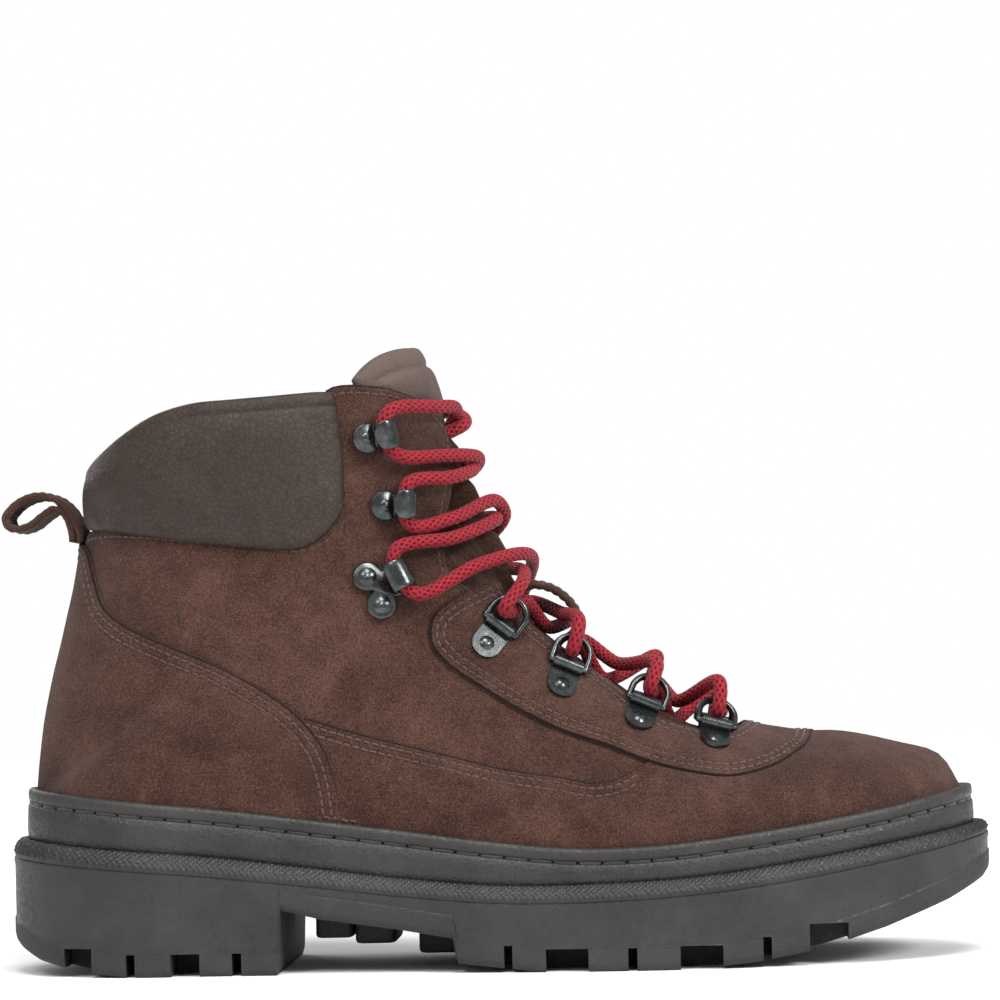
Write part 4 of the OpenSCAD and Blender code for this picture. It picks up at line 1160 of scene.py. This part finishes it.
def half_rim(step):
    """Feather line of one side from heel to toe: [x, half width] and outward normals."""
    s = along(np.linspace(HEEL_U, 0, 900))
    line = resample(np.stack([s[:, 0], np.maximum(s[:, 1], 0)], axis=1), step)
    way = headings(line)
    normal = np.stack([-way[:, 1], way[:, 0]], axis=1)
    normal[0] = [-1, 0]
    normal[-1] = [1, 0]
    return line, normal


def rim_ring(margin, step=SOLE_STEP):
    """Closed outline at a margin outside the feather line: [x, y], outer side first."""
    line, normal = half_rim(step)
    p = line + margin * normal
    p[:, 1] = np.maximum(p[:, 1], 0)
    centre = bend(p[:, 0])
    outer = np.stack([p[:, 0], centre - p[:, 1]], axis=1)
    inner = np.stack([p[:, 0], centre + p[:, 1]], axis=1)[-2:0:-1]
    return np.concatenate([outer, inner])


def lift(ring, z):
    """Adds z to [x, y] points."""
    return np.concatenate([ring, np.broadcast_to(z, len(ring))[:, None]], axis=1)


def hoop(name, profile, material, step=SOLE_STEP):
    """Band round the sole. Each profile entry is a margin and a function that gives z from x."""
    rings = []
    for margin, height in profile:
        ring = rim_ring(margin, step)
        rings.append(lift(ring, height(ring[:, 0])))
    return ring_mesh(name, rings, material, capped=False)


BOX_FACES = ((0, 1, 3, 2), (4, 6, 7, 5), (0, 4, 5, 1), (2, 3, 7, 6), (0, 2, 6, 4), (1, 5, 7, 3))


def box_mesh(boxes):
    """Points and faces of boxes, each given by its lowest and its highest corner."""
    verts, faces = [], []
    for k, (low, high) in enumerate(boxes):
        for x in (low[0], high[0]):
            for y in (low[1], high[1]):
                for z in (low[2], high[2]):
                    verts.append((x, y, z))
        n = 8 * k
        faces += [[n + i for i in f] for f in BOX_FACES]
    return verts, faces


def gap_boxes():
    """Boxes that cut the gaps between the lugs: from both edges, then across the middle."""
    edge_line, edge_normal = half_rim(1.0)
    outer = edge_line + SOLE_MARGIN * edge_normal
    boxes = []
    for x, width in WIDE_GAPS + FINE_GAPS:
        half = np.interp(x, outer[:, 0], outer[:, 1])
        top = float(bottom_z(x)) + LUG_DEPTH
        for side in (-1, 1):
            ends = sorted((bend(x) + side * (half + 10), bend(x) + side * (half - LUG_REACH)))
            boxes.append(((x - width / 2, ends[0], -2), (x + width / 2, ends[1], top)))
    for x, width in CROSS_GAPS:
        half = np.interp(x, outer[:, 0], outer[:, 1]) - LUG_REACH - 5
        top = float(bottom_z(x)) + CROSS_DEPTH
        boxes.append(((x - width / 2, bend(x) - half, -2), (x + width / 2, bend(x) + half, top)))
    return boxes


def cut(obj, verts, faces):
    """Takes a closed shape away from an object, for good."""
    tool = add_mesh("cutter", verts, faces, RUBBER)
    modifier = obj.modifiers.new("cut", "BOOLEAN")
    modifier.operation = "DIFFERENCE"
    modifier.solver = "EXACT"
    modifier.use_self = True
    modifier.object = tool
    apply_modifiers(obj)
    bpy.data.objects.remove(tool)


def apply_modifiers(obj):
    graph = bpy.context.evaluated_depsgraph_get()
    baked = bpy.data.meshes.new_from_object(obj.evaluated_get(graph), depsgraph=graph)
    obj.modifiers.clear()
    obj.data = baked


LUG_BAND = 6.4


def make_outsole():
    """Lugged outsole: sections from heel to toe, with the gaps between the lugs cut out."""
    line, normal = half_rim(SOLE_STEP)
    bulge = [(7.3, 0.0), (8.2, 1.0), (8.5, 2.4), (8.5, LUG_BAND), (8.15, LUG_BAND + 0.6)]

    def edge(margin, height, side):
        p = line + margin * normal
        p[:, 1] = np.maximum(p[:, 1], 0)
        return np.stack([p[:, 0], bend(p[:, 0]) + side * p[:, 1], height(p[:, 0])], axis=1)

    profile = [(m, lambda x, rise=rise: bottom_z(x) + rise) for m, rise in bulge]
    profile += [(8.2, lambda x: curve_z(LEDGE, x) - 2.5), (8.5, lambda x: curve_z(LEDGE, x) - 1.6),
                (8.4, lambda x: curve_z(LEDGE, x) - 0.3), (7.6, lambda x: curve_z(LEDGE, x) + 0.1),
                (5.6, lambda x: curve_z(LEDGE, x) + 0.6), (5.0, lambda x: curve_z(CREASE, x) - 0.5),
                (3.0, lambda x: curve_z(CREASE, x))]
    lateral = [edge(m, h, -1) for m, h in profile]
    medial = [edge(m, h, 1) for m, h in profile[::-1]]
    share = np.linspace(0, 1, 14)[1:-1]
    top = [lateral[-1] + (medial[0] - lateral[-1]) * t for t in share]
    low = [medial[-1] + (lateral[0] - medial[-1]) * t for t in share]
    sections = np.stack(lateral + top + medial + low, axis=1)
    rows, cols = sections.shape[:2]
    faces = quads(rows, cols, 0, wrap_cols=True).tolist()
    sole = add_mesh("outsole_lugs", sections.reshape(-1, 3), faces, RUBBER)
    mend(sole.data, 0.01, fill=True)
    cut(sole, *box_mesh(gap_boxes()))
    sole.data.materials.append(LUG_RUBBER)
    low_band = [int(face.center.z / MM < bottom_z(face.center.x / MM) + LUG_BAND + 0.3)
                for face in sole.data.polygons]
    sole.data.polygons.foreach_set("material_index", low_band)
    shade_smooth(sole.data)
    sole.data.set_sharp_from_angle(angle=math.radians(32))
    even = sole.modifiers.new("even", "WEIGHTED_NORMAL")
    even.keep_sharp = True
    belong(sole, "rubber_sole", "outsole")


PAD_Y = 3
PAD_HALF = 19
PAD_DROP = 7.5


def make_arch_pads():
    """Raised blocks that hang from the arch between the heel and the forepart."""
    turn = angles(48)
    for k, (x, width) in enumerate(ARCH_PADS):
        shape = np.stack([squarish(np.cos(turn), 0.3) * width / 2,
                          squarish(np.sin(turn), 0.2) * PAD_HALF], axis=1)
        low = float(bottom_z(x)) - PAD_DROP
        rings = [lift(shape * (1 - inset) + [x, bend(x) + PAD_Y], low + rise)
                 for inset, rise in ((0.16, 0), (0.05, 0.3), (0, 1.2), (0, PAD_DROP + 3))]
        pad = ring_mesh("arch_pad_" + str(k + 1), rings, LUG_RUBBER)
        belong(pad, "rubber_sole")


KNURL_PITCH = 1.35
KNURL_STEP = 0.42
KNURL_DEPTH = 0.7


def make_knurl():
    """Diamond-cut bevel between the ledge and the sidewall."""
    rings = []
    for s in np.linspace(0, 1, 15):
        swell = 0.9 * math.sin(math.pi * s)
        ring = rim_ring(SOLE_MARGIN - 0.4 - (LEDGE_STEP - 1.0) * s + swell, KNURL_STEP)
        x = ring[:, 0]
        ledge = curve_z(LEDGE, x)
        z = ledge + 0.2 + (curve_z(CREASE, x) - ledge + 0.2) * s + 0.6 * swell
        run = np.arange(len(ring)) * KNURL_STEP
        rise = s * 6.4
        left = np.abs(np.sin(math.pi * (run + rise) / KNURL_PITCH / 1.42))
        right = np.abs(np.sin(math.pi * (run - rise) / KNURL_PITCH / 1.42))
        proud = KNURL_DEPTH * (1.05 * np.minimum(left, right) * np.clip(min(s, 1 - s) * 8, 0, 1))
        centre = np.stack([np.clip(x, -120, 120), bend(np.clip(x, -120, 120))], axis=1)
        out = unit(ring - centre)
        rings.append(lift(ring + proud[:, None] * out, z + proud))
    inner = rim_ring(2.0, KNURL_STEP)
    rings.append(lift(inner, curve_z(CREASE, inner[:, 0]) - 0.5))
    rings.append(lift(inner, curve_z(LEDGE, inner[:, 0]) - 2))
    low = rim_ring(SOLE_MARGIN - 1.2, KNURL_STEP)
    rings.append(lift(low, curve_z(LEDGE, low[:, 0]) - 1))
    band = ring_mesh("knurled_ledge", rings, RUBBER, capped=False)
    belong(band, "rubber_sole")


def make_wall():
    """Sidewall and welt with the stitched groove between them."""
    def crease(d):
        return lambda x: curve_z(CREASE, x) + d

    def seam(d):
        return lambda x: seam_z(x) + d

    def part(s, d=0.0):
        return lambda x: curve_z(CREASE, x) * (1 - s) + seam_z(x) * s + d

    wall = hoop("sidewall", [(-2, crease(-1)), (2.6, crease(-1)), (3.3, crease(0)), (3.9, crease(0.8)),
                             (4.0, part(0.3)), (3.9, part(0.6)), (3.75, seam(-1.4)), (3.3, seam(-0.75)),
                             (2.5, seam(-0.45)), (-2, seam(-0.4))], WALL_RUBBER)
    belong(wall, "rubber_sole", "midsole")
    welt = hoop("welt_strip", [(-1.0, seam(-0.3)), (2.5, seam(-0.25)), (3.2, seam(0.15)), (3.6, seam(0.9)),
                               (3.6, seam(2.6)), (3.35, seam(3.6)), (2.7, seam(4.15)), (1.7, seam(4.3)),
                               (0.9, seam(4.05)), (0.4, seam(3.3)), (-1.0, seam(2.5))], WALL_RUBBER)
    belong(welt, "rubber_welt", "welt")
    ring = rim_ring(3.05, 0.5)
    line = lift(ring, seam_z(ring[:, 0]) - 0.3)
    way = headings(ring)
    out = lift(np.stack([way[:, 1], -way[:, 0]], axis=1), 0.0)
    threads = stitches("welt_stitches", [(line, out)], *WELT_STITCH, WELT_THREAD)


def make_footbed():
    """Moulded foam footbed under cloth, cupped at its edges."""
    rings = []
    for margin, rise in ((-9.5, 0.1), (-8.8, 0.6), (-8.6, 3.6), (-9.2, 4.6), (-10.5, 4.7),
                         (-13, 4.2), (-18, 3.9), (-26, 3.7)):
        ring = rim_ring(margin, 2.0)
        rings.append(lift(ring, seam_z(ring[:, 0]) + BOARD_T + rise - 0.1))
    spine = rings[-1].copy()
    spine[:, 1] = bend(spine[:, 0])
    rings.append(spine)
    base = rings[0].copy()
    base[:, 1] = bend(base[:, 0])
    base[:, 2] = seam_z(base[:, 0]) + BOARD_T + 0.1
    bed = ring_mesh("footbed_cushion", [base] + rings, FOOTBED)
    mend(bed.data, 0.02)
    belong(bed, "footbed_foam", "footbed")


# ---- Hooks ----

LOCK_AT = [-33, 119, 25]
LOWER_AT = [-32.3, 144.3, 3]
UPPER_AT = [-37.4, 165.4, 12]
CAP_WIDTHS = [7, 6.4, 6, 6.4, 7.6, 8.8, 9.3, 8.6, 6.4, 3.4]
BAND_WIDTHS = [9, 9.2, 9.4, 9.4, 9.4, 9.4, 9.4, 9.4, 9.4, 9.2]
PLATE_LOW = 0.15
PLATE_HIGH = 1.05


def fitting_axes(spot, side):
    """Origin on the skin at a side-view point, and axes: x towards the lace, z outward."""
    angle = math.radians(spot[2])
    here = np.array(at(spot[0], spot[1]))
    ahead = np.array(at(spot[0] + 2 * math.cos(angle), spot[1] + 2 * math.sin(angle)))
    p = skin(here[0], here[1], side, 0.0)
    z = outward(here[0], here[1], np.array(float(side)))
    y = unit(np.cross(z, skin(ahead[0], ahead[1], side, 0.0) - p))
    return p, np.cross(y, z), y, z


def placed(axes, local):
    p, x, y, z = axes
    local = np.asarray(local)
    return p + local[..., :1] * x + local[..., 1:2] * y + local[..., 2:] * z


def lace_spot(axes):
    """Local x and z of the lace where it passes under the fitting."""
    p, x, y, z = axes
    gap = LACE_LINE - p
    local = np.stack([gap @ x, gap @ y, gap @ z], axis=1)
    near = local[(np.abs(local - [6, 0, 3]) < [5, 1.5, 4]).all(axis=1)]
    return near[np.argmin(np.abs(near[:, 1])), [0, 2]]


def fit(piece, node):
    belong(piece, "gunmetal", node)


def bent_band(name, axes, profile, thick):
    """Bent metal band. Each profile entry is a local x, a local z and the width there."""
    line = smooth_line(profile, 0.3)
    way = headings(line[:, :2])
    turn = angles(28)
    across = squarish(np.cos(turn), 0.45) / 2
    through_t = squarish(np.sin(turn), 0.7) * thick / 2
    rings = [np.stack([px - tz * through_t, width * across, pz + tx * through_t], axis=1)
             for (px, pz, width), (tx, tz) in zip(line, way)]
    return ring_mesh(name, placed(axes, rings), METAL)


def plate(name, axes, outline):
    """Flat plate with a softened edge."""
    outline = np.asarray(outline)
    rings = []
    for scale, z in ((0.93, PLATE_LOW), (1, PLATE_LOW + 0.2), (1, PLATE_HIGH - 0.25),
                     (0.94, PLATE_HIGH)):
        rings.append(np.concatenate([outline * scale, np.full((len(outline), 1), z)], axis=1))
    return ring_mesh(name, placed(axes, rings), METAL)


def hook_band(centre, reach, widths):
    """Profile of a hook that comes up on the lace side and closes over the lace."""
    x, z = centre
    angles = np.radians([-60, -30, 0, 30, 60, 90, 120, 140, 152])
    foot = [[x - 2, PLATE_HIGH - 0.4, widths[0]], [x + 1, PLATE_HIGH - 0.4, widths[0]]]
    arc = [[x + reach * math.cos(a), max(z + reach * math.sin(a), PLATE_HIGH - 0.4), width]
           for a, width in zip(angles, widths[1:])]
    return foot + arc


def make_hooks():
    turn = angles(64)
    disc = np.stack([4.6 * np.cos(turn), 4.6 * np.sin(turn)], axis=1)
    lobes = [(-3.2, 5, 4.6), (-3.2, -5, 4.6), (4, 0, 5)]
    ray = np.stack([np.cos(turn), np.sin(turn)], axis=1)
    reach = np.full(len(turn), 3.5)
    for cx, cy, r in lobes:
        ahead = ray @ [cx, cy]
        inside = r * r - (cx * cx + cy * cy - ahead ** 2)
        far_side = ahead + np.sqrt(np.maximum(inside, 0))
        reach = np.maximum(reach, np.where((inside > 0) & (ahead > 0), far_side, 0))
    lobed = ray * reach[:, None]
    for side, word in ((LATERAL, "lateral"), (MEDIAL, "medial")):
        for level, spot in (("lower", LOWER_AT), ("upper", UPPER_AT)):
            axes = fitting_axes(spot, side)
            node = "speed_hook_" + level + "_" + word
            fit(plate(node + "_plate", axes, disc), node)
            profile = hook_band(lace_spot(axes), 3.7, CAP_WIDTHS)
            fit(bent_band(node + "_cap", axes, profile, 1.3), node)
        axes = fitting_axes(LOCK_AT, side)
        node = "locking_hook_" + word
        fit(plate(node + "_plate", axes, lobed), node)
        profile = hook_band(lace_spot(axes), 3.8, BAND_WIDTHS)
        fit(bent_band(node + "_band", axes, profile, 1.1), node)


# ---- CAD parts that keep their shape ----

def dress(words, material, bevel=0.0):
    for name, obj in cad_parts.items():
        if not any(name.startswith(word) for word in words):
            continue
        obj.data.materials.clear()
        obj.data.materials.append(material)
        if bevel:
            edge = obj.modifiers.new("edge", "BEVEL")
            edge.width = bevel * MM
            edge.segments = 2
            edge.limit_method = "ANGLE"
            edge.angle_limit = math.radians(35)


# ---- Studio ----

SKY = 0.55
SUN = 1.9
SUN_WAY = Vector((-0.1, 0.5, -1))
SUN_SPREAD = math.radians(24)
LAMPS = (("key", (-0.7, -1.5, 1.5), 0.7, 12), ("fill", (1.4, -1.2, 1.2), 0.7, 32),
         ("rim", (-1.2, 1.5, 1.1), 1.2, 8))
LAMP_TARGET = Vector((0, 0, 0.08))
FLOOR_SPAN = 6000


def make_studio():
    white = Nodes("floor_white")
    white.finish((0.9, 0.9, 0.9), 0.95, spec=0.1)
    bpy.ops.mesh.primitive_plane_add(size=FLOOR_SPAN * MM, location=(0, 0, 0))
    floor = bpy.context.object
    floor.name = "floor"
    floor.data.materials.append(white.material)
    world = bpy.data.worlds.new("studio")
    world.use_nodes = True
    sky = world.node_tree.nodes["Background"]
    sky.inputs["Color"].default_value = (1, 1, 1, 1)
    seen = world.node_tree.nodes.new("ShaderNodeLightPath")
    strength = world.node_tree.nodes.new("ShaderNodeMapRange")
    strength.inputs["To Min"].default_value = SKY
    strength.inputs["To Max"].default_value = 1.0
    world.node_tree.links.new(seen.outputs["Is Camera Ray"], strength.inputs["Value"])
    world.node_tree.links.new(strength.outputs["Result"], sky.inputs["Strength"])
    bpy.context.scene.world = world
    bpy.context.scene.view_settings.view_transform = "Standard"
    sun = bpy.data.lights.new("sun", "SUN")
    sun.energy = SUN
    sun.angle = SUN_SPREAD
    show("sun", sun).rotation_euler = SUN_WAY.to_track_quat("-Z", "Y").to_euler()
    for name, place, size, power in LAMPS:
        data = bpy.data.lights.new(name, "AREA")
        data.shape = "DISK"
        data.size = size
        data.energy = power
        lamp = show(name, data)
        lamp.location = place
        aim = LAMP_TARGET - lamp.location
        lamp.rotation_euler = aim.to_track_quat("-Z", "Y").to_euler()


seams = make_panels()
seams += make_straps()
upper_threads = stitches("upper_stitches", seams, *UPPER_THREAD, THREAD)
make_collar()
make_lining()
make_gussets()
make_tongue()
make_outsole()
make_arch_pads()
make_knurl()
make_wall()
make_footbed()
make_hooks()
dress(["ring_clip", "rivets"], METAL, 0.18)
dress(["d_ring"], METAL)
dress(["shank"], STEEL)
dress(["insole_board", "heel_stiffener", "toe_puff"], BOARD)
make_studio()
